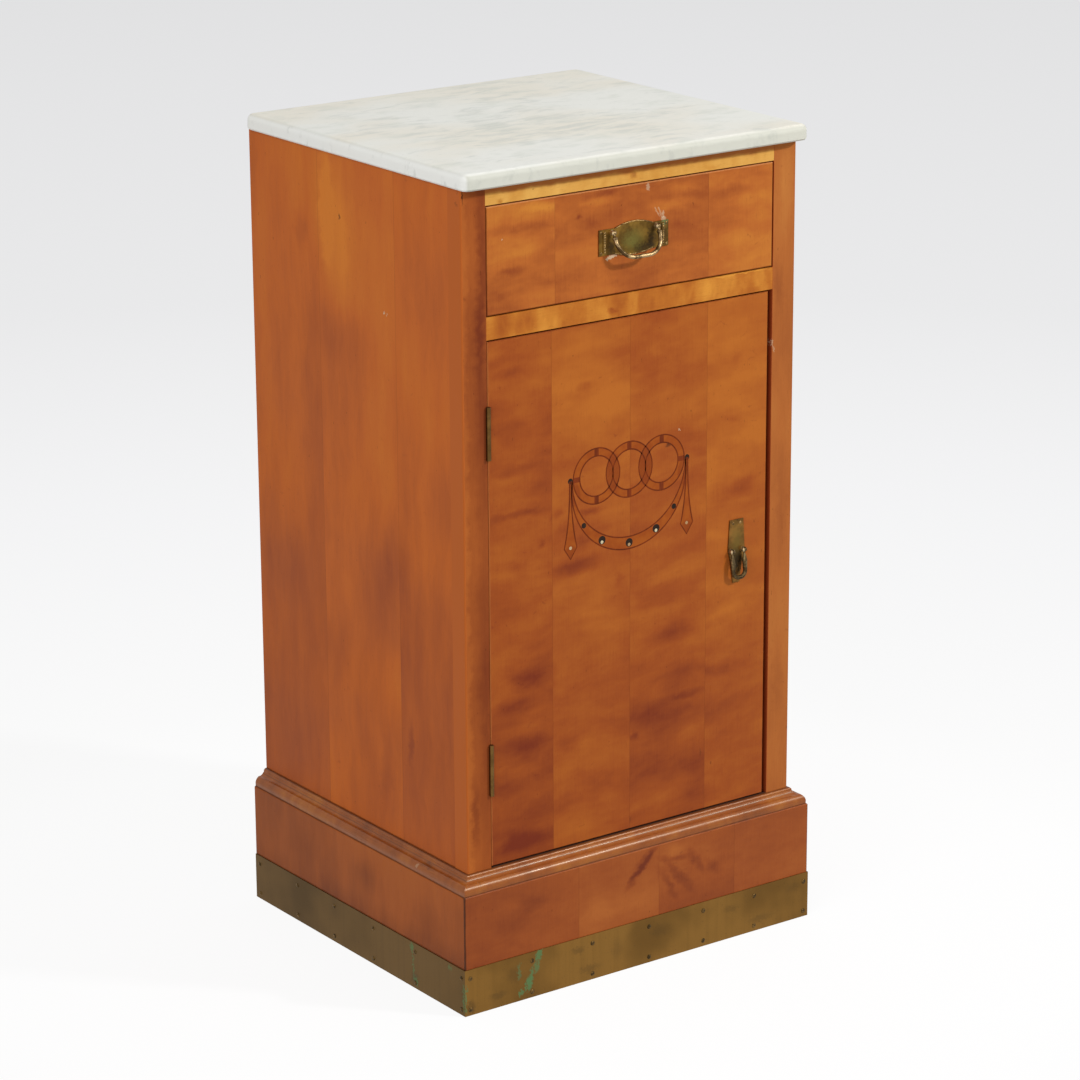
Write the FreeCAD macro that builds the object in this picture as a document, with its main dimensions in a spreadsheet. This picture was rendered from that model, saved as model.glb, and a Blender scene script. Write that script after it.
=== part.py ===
"""Bedside pot cupboard: marble top, one drawer over one door, plinth bound with a brass band.

Frame: origin at the middle of the base on the floor, +X to the right, front towards -Y, +Z up.
Millimetres and degrees.  The driving sizes stand in the sheet Size.  The sheet Plan holds the
setting-out lines worked out from them.  Every piece takes its sizes and its place from the two.
"""
import FreeCAD, Part
import os
import Sketcher
from FreeCAD import Placement, Rotation, Vector

SIZES = [
    # Carcase
    ("body_width", 381.0),          # across the two side panels
    ("body_depth", 350.5),          # from the front of the stiles to the back panel
    ("carcase_tall", 661.0),        # from the plinth to the underside of the marble
    ("side_thick", 18.0),
    ("stile_width", 26.5),
    ("stile_arris", 1.5),           # rounding of the stile's outer corner
    ("tongue_thick", 6.0),          # tongue of the side panel, glued into the stile
    ("tongue_long", 7.0),
    ("top_rail_tall", 18.0),
    ("middle_rail_tall", 21.0),
    ("rail_deep", 60.0),            # front rails lie flat, this deep
    ("tenon_long", 12.0),
    ("tenon_thick", 8.0),
    ("tenon_setback", 6.0),         # from the front of the rail to its tenon
    ("tenon_shoulder", 3.0),        # above and below the tenon
    ("drawer_opening", 101.5),      # between middle rail and top rail
    ("back_thick", 8.0),
    ("back_lap", 8.0),              # how far the rebates cover the back panel
    ("back_rail_deep", 40.0),
    ("shelf_thick", 16.0),
    ("shelf_rise", 262.0),          # top of the shelf above the cupboard floor
    ("shelf_setback", 30.0),        # behind the back of the door
    ("shelf_play", 0.5),            # shelf loose between the sides
    ("cleat_tall", 15.0),
    ("cleat_wide", 12.0),
    ("runner_wide", 22.5),
    ("runner_tall", 15.0),
    ("guide_tall", 20.0),           # guide part of the runner, beside the drawer
    ("dust_thick", 5.0),
    ("dust_groove", 6.0),           # depth of the grooves that hold the dust board
    ("door_stop_wide", 18.5),
    ("door_stop_thick", 12.0),
    # Marble
    ("marble_thick", 15.0),
    ("marble_side", 4.8),           # overhang past the sides
    ("marble_front", 14.0),          # overhang past the front
    ("marble_corner", 8.0),        # plan radius of the four corners
    ("marble_round", 6.0),          # top arris
    ("marble_under", 1.5),          # bottom arris
    # Plinth
    ("plinth_tall", 118.0),
    ("plinth_thick", 22.0),
    ("plinth_step", 14.5),          # face of the plinth in front of the carcase
    ("plinth_ease", 1.5),           # rounding of the plinth's top arris
    ("plinth_back_thick", 20.0),
    ("block_wide", 28.0),           # corner blocks
    ("block_tall", 80.0),
    ("moulding_tall", 16.0),
    ("moulding_out", 13.2),
    ("band_tall", 46.0),
    ("band_thick", 1.0),
    ("nail_radius", 2.1),
    ("nail_rise", 1.0),
    ("nail_slope", 0.45),           # share of the radius that the slope of the head takes
    ("nail_low", 5.8),              # lower row of nails above the floor
    ("nail_high", 37.0),            # upper row
    # Door
    ("door_thick", 20.0),
    ("front_ease", 0.7),            # rounding of the front edges of door and drawer
    ("gap_hinge", 1.0),
    ("gap_latch", 5.0),
    ("gap_top", 1.5),
    ("gap_bottom", 1.5),
    ("stop_gap", 0.3),              # between the back of the door or drawer front and its stop
    # Hinges
    ("hinge_long", 50.0),
    ("hinge_from_top", 84.5),       # middle of the upper hinge below the top of the door
    ("hinge_from_bottom", 95.2),    # middle of the lower hinge above the foot of the door
    ("hinge_proud", 1.5),           # pin axis in front of the door's face
    ("knuckle_radius", 2.1),
    ("knuckle_gap", 0.2),           # between one knuckle and the next
    ("knuckle_room", 0.35),         # round the knuckles, in the wood
    ("pin_radius", 1.0),
    ("pin_fit", 0.05),
    ("leaf_thick", 1.2),
    ("leaf_wide", 17.0),
    ("leaf_gap", 0.3),              # between the two leaves when the door is shut
    ("screw_head", 2.9),
    ("screw_shank", 1.5),
    ("screw_long", 10.0),
    ("screw_inset", 10.0),          # screws from the ends of the hinge
    # Catch
    ("catch_rise", 300.0),          # above the cupboard floor
    ("catch_inset", 10.0),          # stud in from the edge of the stop strip
    ("stud_ball", 3.0),
    ("stud_neck", 1.5),
    ("stud_reach", 9.0),            # middle of the ball behind the door
    ("clip_thick", 0.8),
    ("clip_play", 0.3),             # between ball and jaw
    ("clip_wide", 8.0),
    ("clip_deep", 12.0),
    ("clip_foot", 20.0),
    # Drawer
    ("drawer_room_behind", 10.5),   # between the drawer and the back panel
    ("drawer_gap_side", 1.0),
    ("drawer_gap_top", 1.5),
    ("drawer_gap_bottom", 1.0),
    ("drawer_front_thick", 20.0),
    ("drawer_lap", 6.0),            # front left in front of the dovetails
    ("drawer_side_thick", 10.0),
    ("drawer_back_thick", 10.0),
    ("drawer_side_drop", 2.0),      # top of the sides below the top of the front
    ("drawer_back_drop", 6.0),
    ("drawer_ride", 0.2),           # sides above the runners
    ("bottom_thick", 6.0),
    ("bottom_rise", 8.0),           # underside of the bottom above the foot of the sides
    ("bottom_groove", 4.0),
    ("pin_narrow", 3.0),            # half width of a dovetail pin at its narrow end
    ("pin_flare", 2.3),             # how much wider it is on each side at its root
    ("stop_block_wide", 18.0),
    ("stop_block_deep", 12.0),
    ("stop_block_tall", 4.0),
    ("stop_block_out", 100.0),      # stop blocks from the middle
    # Pulls
    ("plate_thick", 1.0),
    ("pull_half", 39.5),            # half width of the drawer's backplate
    ("pull_tall", 24.0),
    ("pull_lobe_half", 22.0),       # arched middle of the plate
    ("pull_lobe_rise", 4.5),
    ("pull_lobe_drop", 3.0),
    ("rib_in", 4.4),                # raised rib near each end, in from the end
    ("rib_margin", 2.5),            # above and below the rib
    ("rib_wide", 3.4),
    ("rib_out", 0.6),
    ("pull_nail_in", 2.4),          # dome nails in from the corners of the plate
    ("pull_nail_radius", 1.6),
    ("pull_post_out", 25.2),        # posts from the middle of the drawer pull
    ("pull_post_rise", 8.5),        # pivot above the middle of the plate
    ("post_radius", 2.5),
    ("post_long", 5.0),
    ("post_dome", 1.0),
    ("post_slot", 2.6),
    ("pivot_out", 2.9),             # pivot in front of the plate
    ("pivot_radius", 0.9),
    ("pivot_fit", 0.05),
    ("eye_radius", 1.9),
    ("eye_thick", 2.2),
    ("arm_neck", 1.0),              # radius of the slender top of the arm
    ("slot_room", 0.3),             # between the eye and the bottom of the slot
    ("arm_room", 1.2),              # arm slender until this far past the end of the fork
    ("bail_drop", 25.0),            # pivot to the middle of the bail's lowest stretch
    ("bail_wire", 1.9),
    ("bail_bend", 18.0),
    ("bail_swell", 2.6),            # radius of the thickened arm
    ("bail_tilt", 25.0),            # how far the bail stands off when it hangs
    # Door pull
    ("door_pull_inset", 35.9),      # from the opening edge of the door
    ("door_pull_rise", 256.0),      # pivot above the cupboard floor
    ("door_plate_top", 30.5),       # top of the plate above the pivot
    ("door_plate_foot", 32.0),      # foot of the plate below the pivot
    ("door_plate_top_half", 8.1),
    ("door_plate_half", 10.0),
    ("door_plate_foot_half", 4.2),
    ("door_nail_out", 4.2),
    ("door_nail_down", 3.5),
    ("door_post_out", 7.2),
    ("door_bail_drop", 26.0),
    ("door_bail_wire", 2.0),
    ("door_bail_bend", 6.5),
    ("door_bail_swell", 2.5),
    ("door_bail_tilt", 5.0),
    # Inlay
    ("inlay_thick", 1.0),
    ("inlay_left", 2.05),            # middle of the inlay left of the middle of the door
    ("inlay_rise", 357.8),          # middle of the rings above the cupboard floor
    ("ring_outer", 27.0),
    ("ring_inner", 18.8),
    ("ring_step", 37.7),
    ("ring_block", 4.9),
    ("festoon_out", 67.6),          # end studs from the middle
    ("festoon_outer", 66.5),        # radius of the outer curve
    ("festoon_outer_drop", 10.7),   # its middle below the middle of the rings
    ("festoon_inner", 65.4),
    ("festoon_inner_drop", -0.8),
    ("stud_end", 2.8),
    ("stud_small", 2.7),
    ("stud_large", 4.1),
    ("stud_small_angle", 52.5),     # off straight down, seen from the middle of the curves
    ("stud_large_angle", 28.5),
    ("pearl_radius", 1.6),
    ("pearl_drop", 1.9),
    ("drop_long", 75.0),
    ("drop_widest", 64.0),          # widest place below the end stud
    ("drop_half", 7.5),
    ("drop_neck", 1.0),
    ("drop_waist", 2.6),            # half width half way down
]

PLAN = [
    ("half_x", "Size.body_width / 2"),
    ("inside_x", "half_x - Size.side_thick"),
    ("opening_x", "half_x - Size.stile_width"),
    ("base_x", "half_x + Size.plinth_step + Size.band_thick"),
    ("back_y", "(Size.body_depth + Size.plinth_step + Size.band_thick + Size.nail_rise) / 2"),
    ("front_y", "back_y - Size.body_depth"),
    ("door_back_y", "front_y + Size.door_thick"),
    ("stile_back_y", "door_back_y + Size.stop_gap"),
    ("rail_back_y", "front_y + Size.rail_deep"),
    ("inside_back_y", "back_y - Size.back_thick"),
    ("floor_z", "Size.plinth_tall + Size.moulding_tall"),
    ("marble_z", "Size.plinth_tall + Size.carcase_tall"),
    ("top_rail_z", "marble_z - Size.top_rail_tall"),
    ("drawer_z", "top_rail_z - Size.drawer_opening"),
    ("middle_rail_z", "drawer_z - Size.middle_rail_tall"),
    ("shelf_z", "floor_z + Size.shelf_rise - Size.shelf_thick"),
    ("door_left_x", "-opening_x + Size.gap_hinge"),
    ("door_right_x", "opening_x - Size.gap_latch"),
    ("door_mid_x", "(door_left_x + door_right_x) / 2"),
    ("door_low_z", "floor_z + Size.gap_bottom"),
    ("door_top_z", "middle_rail_z - Size.gap_top"),
    ("hinge_x", "-opening_x + Size.gap_hinge / 2"),
    ("hinge_y", "front_y - Size.hinge_proud"),
    ("hinge_low_z", "door_low_z + Size.hinge_from_bottom - Size.hinge_long / 2"),
    ("hinge_high_z", "door_top_z - Size.hinge_from_top - Size.hinge_long / 2"),
    ("drawer_x", "opening_x - Size.drawer_gap_side"),
    ("drawer_low_z", "drawer_z + Size.drawer_gap_bottom"),
    ("drawer_top_z", "top_rail_z - Size.drawer_gap_top"),
    ("drawer_back_y", "front_y + Size.drawer_front_thick"),
    ("drawer_end_y", "inside_back_y - Size.drawer_room_behind"),
    ("side_low_z", "drawer_z + Size.drawer_ride"),
    ("side_top_z", "drawer_top_z - Size.drawer_side_drop"),
    ("bottom_z", "side_low_z + Size.bottom_rise"),
    ("tail_pitch", "(side_top_z - side_low_z) / 3"),
    ("pull_z", "(drawer_low_z + drawer_top_z) / 2"),
    ("plate_y", "front_y - Size.plate_thick"),
    ("pivot_y", "plate_y - Size.pivot_out"),
    ("door_pull_x", "door_right_x - Size.door_pull_inset"),
    ("door_pull_z", "floor_z + Size.door_pull_rise"),
    ("stop_x", "inside_x - Size.door_stop_wide"),
    ("catch_x", "stop_x - Size.catch_inset"),
    ("catch_z", "floor_z + Size.catch_rise"),
    ("inlay_x", "door_mid_x - Size.inlay_left"),
    ("inlay_z", "floor_z + Size.inlay_rise"),
    ("inlay_y", "front_y + Size.inlay_thick"),
]

HANDS = (("left", -1), ("right", 1))
SHARES_ALONG_FRONT = (-0.97, -0.627, -0.284, 0.044, 0.364, 0.67, 0.973)
SHARES_ALONG_SIDE = (-0.962, -0.544, -0.153, 0.219, 0.58, 0.96)
UPRIGHT = Rotation()
TO_FRONT = Rotation(Vector(1, 0, 0), 90)
TO_LEFT = Rotation(Vector(0, 1, 0), -90)
TO_RIGHT = Rotation(Vector(0, 1, 0), 90)

doc = FreeCAD.newDocument("PotCupboard")
pieces = []


# ---------------------------------------------------------------- sheets and formulas

def fill_sheet(name, rows):
    """A sheet with one named cell to a row: the name, the value or formula, in two columns."""
    sheet = doc.addObject("Spreadsheet::Sheet", name)
    for number, (alias, content) in enumerate(rows, start=1):
        sheet.set(f"A{number}", alias)
        sheet.set(f"B{number}", str(content) if isinstance(content, float) else f"={content}")
        sheet.setAlias(f"B{number}", alias)
    doc.recompute()
    return sheet


def value(formula):
    """What a formula comes to with the sheets as they stand."""
    return float(plan.evalExpression(formula))


def bind(thing, **formulas):
    """Tie properties of a document object to formulas."""
    for name, formula in formulas.items():
        thing.setExpression(name, formula)


def put(thing, x, y, z):
    """Tie the place of a piece to formulas."""
    thing.setExpression("Placement.Base.x", x)
    thing.setExpression("Placement.Base.y", y)
    thing.setExpression("Placement.Base.z", z)


def keep(piece):
    """Count a finished piece as one of the cupboard's parts."""
    pieces.append(piece)
    return piece


# ---------------------------------------------------------------- primitives and booleans

def board(label, x, y, z, length, depth, height):
    """A plain board, from its left front bottom corner."""
    piece = doc.addObject("Part::Box", label)
    bind(piece, Length=length, Width=depth, Height=height)
    put(piece, x, y, z)
    return piece


def board_on_hand(label, hand, near, far, y, z, depth, height):
    """A board that lies from near to far out from the middle, on the left or the right."""
    left_edge = near if hand > 0 else f"-({far})"
    return board(label, left_edge, y, z, f"{far} - ({near})", depth, height)


def rod(label, radius, length, x, y, z, turn=UPRIGHT):
    """A cylinder that starts at a place and runs the way of its turn."""
    piece = doc.addObject("Part::Cylinder", label)
    piece.Placement = Placement(Vector(), turn)
    bind(piece, Radius=radius, Height=length)
    put(piece, x, y, z)
    return piece


def joined(label, *shapes):
    """Several shapes made one."""
    piece = doc.addObject("Part::MultiFuse", label)
    piece.Shapes = list(shapes)
    return piece


def cut(label, blank, *tools):
    """A blank less every tool."""
    piece = doc.addObject("Part::Cut", label)
    piece.Base = blank
    piece.Tool = tools[0] if len(tools) == 1 else joined(f"{label}_tools", *tools)
    return piece


def group(label, pattern, places):
    """Copies of one piece, kept together as separate solids: x, y, z formulas and a turn each."""
    copies = []
    for number, (x, y, z, turn) in enumerate(places, start=1):
        copy = doc.addObject("App::Link", f"{label}_{number}")
        copy.LinkedObject = pattern
        copy.Placement = Placement(Vector(), turn)
        put(copy, x, y, z)
        copies.append(copy)
    together = doc.addObject("Part::Compound", label)
    together.Links = copies
    return together


# ---------------------------------------------------------------- sketches and features

def body(label):
    """An empty PartDesign body."""
    return doc.addObject("PartDesign::Body", label)


def sketch(owner, name, role, lift="0", shift="0"):
    """A sketch on one of the body's own origin planes, lifted off it and shifted sideways."""
    drawing = owner.newObject("Sketcher::SketchObject", f"{owner.Name}_{name}")
    planes = [feature for feature in owner.Origin.OriginFeatures if feature.Role == role]
    drawing.AttachmentSupport = [(planes[0], "")]
    drawing.MapMode = "FlatFace"
    drawing.setExpression("AttachmentOffset.Base.x", shift)
    drawing.setExpression("AttachmentOffset.Base.z", lift)
    return drawing


def dimension(drawing, kind, formula, *where):
    """A dimension in a sketch, tied to a formula."""
    number = drawing.addConstraint(Sketcher.Constraint(kind, *where, value(formula)))
    drawing.setExpression(f"Constraints[{number}]", formula)


def hold(drawing, geometry, spot, x, y):
    """Hold one point of a sketch by its two distances from the origin."""
    dimension(drawing, "DistanceX", x, -1, 1, geometry, spot)
    dimension(drawing, "DistanceY", y, -1, 1, geometry, spot)


def spot_at(drawing, geometry, point):
    """Which end of a line or arc lies at a point."""
    return 1 if drawing.getPoint(geometry, 1).distanceToPoint(point) < 1e-6 else 2


def outline(drawing, corners, closed=True):
    """Lines through corners (x, y); a corner (x, y, via_x, via_y) is reached by an arc."""
    points = [Vector(value(corner[0]), value(corner[1]), 0) for corner in corners]
    first = 0 if closed else 1
    sides = {}
    for number in range(first, len(corners)):
        corner = corners[number]
        start = points[number - 1]
        end = points[number]
        if len(corner) == 4:
            middle = Vector(value(corner[2]), value(corner[3]), 0)
            side = drawing.addGeometry(Part.Arc(start, middle, end), False)
            through = drawing.addGeometry(Part.Point(middle), True)
            hold(drawing, through, 1, corner[2], corner[3])
            drawing.addConstraint(Sketcher.Constraint("PointOnObject", through, 1, side))
        else:
            side = drawing.addGeometry(Part.LineSegment(start, end), False)
        sides[number] = side
        hold(drawing, side, spot_at(drawing, side, end), corner[0], corner[1])
    for number, side in sides.items():
        start = points[number - 1]
        before = sides.get(number - 1 if number > 0 else len(corners) - 1)
        if before is None:
            hold(drawing, side, spot_at(drawing, side, start), *corners[number - 1][:2])
        else:
            ends = (before, spot_at(drawing, before, start), side, spot_at(drawing, side, start))
            drawing.addConstraint(Sketcher.Constraint("Coincident", *ends))
    return drawing


def circle(drawing, x, y, radius):
    """A circle held by its middle and radius."""
    middle = Vector(value(x), value(y), 0)
    ring = drawing.addGeometry(Part.Circle(middle, Vector(0, 0, 1), value(radius)), False)
    hold(drawing, ring, 3, x, y)
    dimension(drawing, "Radius", radius, ring)
    return drawing


def rectangle(drawing, left, low, right, high):
    """A rectangle between two corners."""
    return outline(drawing, [(left, low), (right, low), (right, high), (left, high)])


def feature(owner, kind, name, profile, **settings):
    """A PartDesign feature made from a sketch."""
    made = owner.newObject(f"PartDesign::{kind}", f"{owner.Name}_{name}")
    made.Profile = profile
    for setting, content in settings.items():
        setattr(made, setting, content)
    return made


def pad(owner, name, profile, length, back=False, both=False):
    """Push a sketch out along its normal, the other way, or half to each side."""
    made = feature(owner, "Pad", name, profile, Reversed=back, Midplane=both)
    bind(made, Length=length)
    return made


def pierce(owner, name, profile):
    """Cut a sketch right through the body, both ways."""
    return feature(owner, "Pocket", name, profile, Type="ThroughAll", Midplane=True)


def turned(owner, name, profile, angle=360.0, back=False):
    """Turn a sketch round its own upright axis, by the right-hand rule or the other way."""
    return feature(owner, "Revolution", name, profile, ReferenceAxis=(profile, ["V_Axis"]),
                   Angle=angle, Reversed=back)


def eased(owner, kind, name, base, wanted, **sizes):
    """Fillet or chamfer the edges of a feature that a test on each edge picks."""
    doc.recompute()
    edges = enumerate(base.Shape.Edges, start=1)
    picked = [f"Edge{number}" for number, edge in edges if wanted(edge)]
    made = owner.newObject(f"PartDesign::{kind}", f"{owner.Name}_{name}")
    made.Base = (base, picked)
    bind(made, **sizes)
    return made


def lies_at(edge, axis, place):
    """Whether an edge lies whole in the plane at a place on an axis."""
    box = edge.BoundBox
    low = getattr(box, f"{axis}Min")
    high = getattr(box, f"{axis}Max")
    return abs(low - place) < 1e-4 and abs(high - place) < 1e-4


# ---------------------------------------------------------------- marble

def make_marble():
    """The loose slab: rounded in plan, a wide round on the top arris, a small one beneath."""
    slab = body("marble_top")
    far_x = "(Plan.half_x + Size.marble_side)"
    front = "(Plan.front_y - Size.marble_front)"
    rear = "Plan.back_y"
    radius = "Size.marble_corner"
    inner_x = f"({far_x} - {radius})"
    bow = f"{radius} * (1 - cos(45))"
    corners = [
        (f"-{inner_x}", front, f"-{far_x} + {bow}", f"{front} + {bow}"),
        (inner_x, front),
        (far_x, f"{front} + {radius}", f"{far_x} - {bow}", f"{front} + {bow}"),
        (far_x, f"{rear} - {radius}"),
        (inner_x, rear, f"{far_x} - {bow}", f"{rear} - {bow}"),
        (f"-{inner_x}", rear),
        (f"-{far_x}", f"{rear} - {radius}", f"-{far_x} + {bow}", f"{rear} - {bow}"),
        (f"-{far_x}", f"{front} + {radius}"),
    ]
    plan_view = outline(sketch(slab, "plan", "XY_Plane"), corners)
    block = pad(slab, "slab", plan_view, "Size.marble_thick")
    thick = value("Size.marble_thick")
    top = eased(slab, "Fillet", "top", block, lambda edge: lies_at(edge, "Z", thick),
                Radius="Size.marble_round")
    eased(slab, "Chamfer", "under", top, lambda edge: lies_at(edge, "Z", 0),
          Size="Size.marble_under")
    put(slab, "0", "0", "Plan.marble_z")
    return keep(slab)


# ---------------------------------------------------------------- carcase

def make_side(name, hand):
    """A side panel: tongue into the stile, rebate for the back panel."""
    panel = body(f"{name}_side_panel")
    outer = f"{hand} * Plan.half_x"
    inner = f"{hand} * Plan.inside_x"
    tongue_outer = f"{hand} * (Plan.half_x - Size.side_thick / 2 + Size.tongue_thick / 2)"
    tongue_inner = f"{hand} * (Plan.half_x - Size.side_thick / 2 - Size.tongue_thick / 2)"
    tongue_y = "Plan.stile_back_y - Size.tongue_long"
    rebate = f"{hand} * (Plan.inside_x + Size.back_lap)"
    corners = [
        (outer, "Plan.stile_back_y"),
        (outer, "Plan.back_y"),
        (rebate, "Plan.back_y"),
        (rebate, "Plan.inside_back_y"),
        (inner, "Plan.inside_back_y"),
        (inner, "Plan.stile_back_y"),
        (tongue_inner, "Plan.stile_back_y"),
        (tongue_inner, tongue_y),
        (tongue_outer, tongue_y),
        (tongue_outer, "Plan.stile_back_y"),
    ]
    pad(panel, "panel", outline(sketch(panel, "plan", "XY_Plane"), corners), "Size.carcase_tall")
    put(panel, "0", "0", "Size.plinth_tall")
    return keep(panel)


def make_rail(label, low, tall, grooved):
    """A front rail laid flat: a stub tenon at each end, and a groove behind for the dust board."""
    rail = body(label)
    half = "Plan.opening_x"
    flat = rectangle(sketch(rail, "plan", "XY_Plane"), f"-{half}", "0", half, "Size.rail_deep")
    pad(rail, "rail", flat, tall)
    reach = f"({half} + Size.tenon_long)"
    tenon_back = "Size.tenon_setback + Size.tenon_thick"
    tenon = sketch(rail, "tenon", "XY_Plane", "Size.tenon_shoulder")
    rectangle(tenon, f"-{reach}", "Size.tenon_setback", reach, tenon_back)
    pad(rail, "tenons", tenon, f"{tall} - 2 * Size.tenon_shoulder")
    if grooved:
        middle = f"({tall} - Size.runner_tall / 2)"
        groove = sketch(rail, "groove", "YZ_Plane")
        rectangle(groove, "Size.rail_deep - Size.dust_groove", f"{middle} - Size.dust_thick / 2",
                  "Size.rail_deep", f"{middle} + Size.dust_thick / 2")
        pierce(rail, "dust_groove", groove)
    put(rail, "0", "Plan.front_y", low)
    return keep(rail)


def make_stile(name, hand, *lets_in):
    """A front stile, rounded on its outer corner and mortised for what it lets in."""
    post = body(f"{name}_front_stile_blank")
    outer = f"{hand} * Plan.half_x"
    inner = f"{hand} * Plan.opening_x"
    round_x = f"{hand} * (Plan.half_x - Size.stile_arris)"
    via_x = f"{hand} * (Plan.half_x - Size.stile_arris * (1 - cos(45)))"
    corners = [
        (inner, "Plan.front_y"),
        (round_x, "Plan.front_y"),
        (outer, "Plan.front_y + Size.stile_arris",
         via_x, "Plan.front_y + Size.stile_arris * (1 - cos(45))"),
        (outer, "Plan.stile_back_y"),
        (inner, "Plan.stile_back_y"),
    ]
    pad(post, "post", outline(sketch(post, "plan", "XY_Plane"), corners), "Size.carcase_tall")
    put(post, "0", "0", "Size.plinth_tall")
    return keep(cut(f"{name}_front_stile", post, *lets_in))


def make_floor():
    """The cupboard floor, notched round the stiles; the moulding masks its front edge."""
    deep = "Plan.inside_back_y - Plan.front_y"
    blank = board("cupboard_floor_blank", "-Plan.inside_x", "Plan.front_y", "Size.plinth_tall",
                  "2 * Plan.inside_x", deep, "Size.moulding_tall")
    notches = []
    for name, hand in HANDS:
        notch = board_on_hand(f"floor_notch_{name}", hand, "Plan.opening_x", "Plan.inside_x",
                              "Plan.front_y", "Size.plinth_tall",
                              "Plan.stile_back_y - Plan.front_y", "Size.moulding_tall")
        notches.append(notch)
    return keep(cut("cupboard_floor", blank, *notches))


def make_runner(name, hand):
    """A drawer runner with its guide, in one L-shaped length, grooved for the dust board."""
    runner = body(f"{name}_drawer_runner")
    outer = f"{hand} * Plan.inside_x"
    inner = f"{hand} * (Plan.inside_x - Size.runner_wide)"
    guide = f"{hand} * Plan.opening_x"
    groove = f"{hand} * (Plan.inside_x - Size.runner_wide + Size.dust_groove)"
    middle = "-Size.runner_tall / 2"
    corners = [
        (outer, "-Size.runner_tall"),
        (outer, "Size.guide_tall"),
        (guide, "Size.guide_tall"),
        (guide, "0"),
        (inner, "0"),
        (inner, f"{middle} + Size.dust_thick / 2"),
        (groove, f"{middle} + Size.dust_thick / 2"),
        (groove, f"{middle} - Size.dust_thick / 2"),
        (inner, f"{middle} - Size.dust_thick / 2"),
        (inner, "-Size.runner_tall"),
    ]
    section = outline(sketch(runner, "section", "XZ_Plane"), corners)
    pad(runner, "length", section, "Plan.inside_back_y - Plan.rail_back_y", back=True)
    put(runner, "0", "Plan.rail_back_y", "Plan.drawer_z")
    return keep(runner)


def make_carcase_inside():
    """Everything the closed cupboard hides, apart from floor, runners and rails."""
    keep(board("back_panel", "-Plan.inside_x - Size.back_lap", "Plan.inside_back_y",
               "Size.plinth_tall", "2 * (Plan.inside_x + Size.back_lap)", "Size.back_thick",
               "Size.carcase_tall"))
    keep(board("top_back_rail", "-Plan.inside_x", "Plan.inside_back_y - Size.back_rail_deep",
               "Plan.top_rail_z", "2 * Plan.inside_x", "Size.back_rail_deep",
               "Size.top_rail_tall"))
    dust_half = "(Plan.inside_x - Size.runner_wide + Size.dust_groove)"
    dust_y = "Plan.rail_back_y - Size.dust_groove"
    keep(board("dust_board", f"-{dust_half}", dust_y,
               "Plan.drawer_z - Size.runner_tall / 2 - Size.dust_thick / 2",
               f"2 * {dust_half}", f"Plan.inside_back_y - ({dust_y})", "Size.dust_thick"))
    shelf_y = "Plan.door_back_y + Size.shelf_setback"
    shelf_half = "(Plan.inside_x - Size.shelf_play)"
    shelf_deep = f"Plan.inside_back_y - ({shelf_y})"
    keep(board("shelf", f"-{shelf_half}", shelf_y, "Plan.shelf_z", f"2 * {shelf_half}",
               shelf_deep, "Size.shelf_thick"))
    for name, hand in HANDS:
        keep(board_on_hand(f"{name}_shelf_cleat", hand, "Plan.inside_x - Size.cleat_wide",
                           "Plan.inside_x", shelf_y, "Plan.shelf_z - Size.cleat_tall",
                           shelf_deep, "Size.cleat_tall"))
        kicker_long = "Plan.inside_back_y - Size.back_rail_deep - Plan.rail_back_y"
        keep(board_on_hand(f"{name}_drawer_kicker", hand, "Plan.inside_x - Size.runner_wide",
                           "Plan.inside_x", "Plan.rail_back_y", "Plan.top_rail_z",
                           kicker_long, "Size.top_rail_tall"))
    block = board("stop_block", "0", "0", "0", "Size.stop_block_wide", "Size.stop_block_deep",
                  "Size.stop_block_tall")
    stop_y = "Plan.drawer_back_y + Size.stop_gap"
    places = [("-Size.stop_block_out - Size.stop_block_wide", stop_y, "Plan.drawer_z", UPRIGHT),
              ("Size.stop_block_out", stop_y, "Plan.drawer_z", UPRIGHT)]
    keep(group("drawer_stops", block, places))
    keep(board("door_stop", "Plan.stop_x", "Plan.stile_back_y", "Plan.floor_z",
               "Size.door_stop_wide", "Size.door_stop_thick",
               "Plan.middle_rail_z - Plan.floor_z"))


# ---------------------------------------------------------------- plinth

def make_strip(label, corners, thick, long, mitres):
    """A length with a constant section, its inner face at y = 0, mitred at the ends named."""
    strip = body(label)
    pad(strip, "length", outline(sketch(strip, "section", "YZ_Plane"), corners), long)
    for end in mitres:
        outer_x = "0" if end == "near" else long
        inner_x = thick if end == "near" else f"{long} - {thick}"
        waste = [(outer_x, "0"), (inner_x, "0"), (outer_x, f"-{thick}")]
        pierce(strip, end, outline(sketch(strip, f"{end}_mitre", "XY_Plane"), waste))
    return keep(strip)


def make_surround(stem, corners, thick, inset, low):
    """Front, right and left lengths of one section, round the foot of the carcase.

    The inner faces lie inset behind the faces of the carcase, or in front where it is negative.
    """
    inner_x = f"(Plan.half_x - {inset})"
    outer_x = f"({inner_x} + {thick})"
    inner_y = f"(Plan.front_y + {inset})"
    outer_y = f"({inner_y} - {thick})"
    side_long = f"(Plan.back_y - {outer_y})"
    front = make_strip(f"{stem}_front", corners, thick, f"2 * {outer_x}", ("near", "far"))
    put(front, f"-{outer_x}", inner_y, low)
    right = make_strip(f"{stem}_right", corners, thick, side_long, ("near",))
    right.Placement.Rotation = Rotation(Vector(0, 0, 1), 90)
    put(right, inner_x, outer_y, low)
    left = make_strip(f"{stem}_left", corners, thick, side_long, ("far",))
    left.Placement.Rotation = Rotation(Vector(0, 0, 1), -90)
    put(left, f"-{inner_x}", "Plan.back_y", low)


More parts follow.
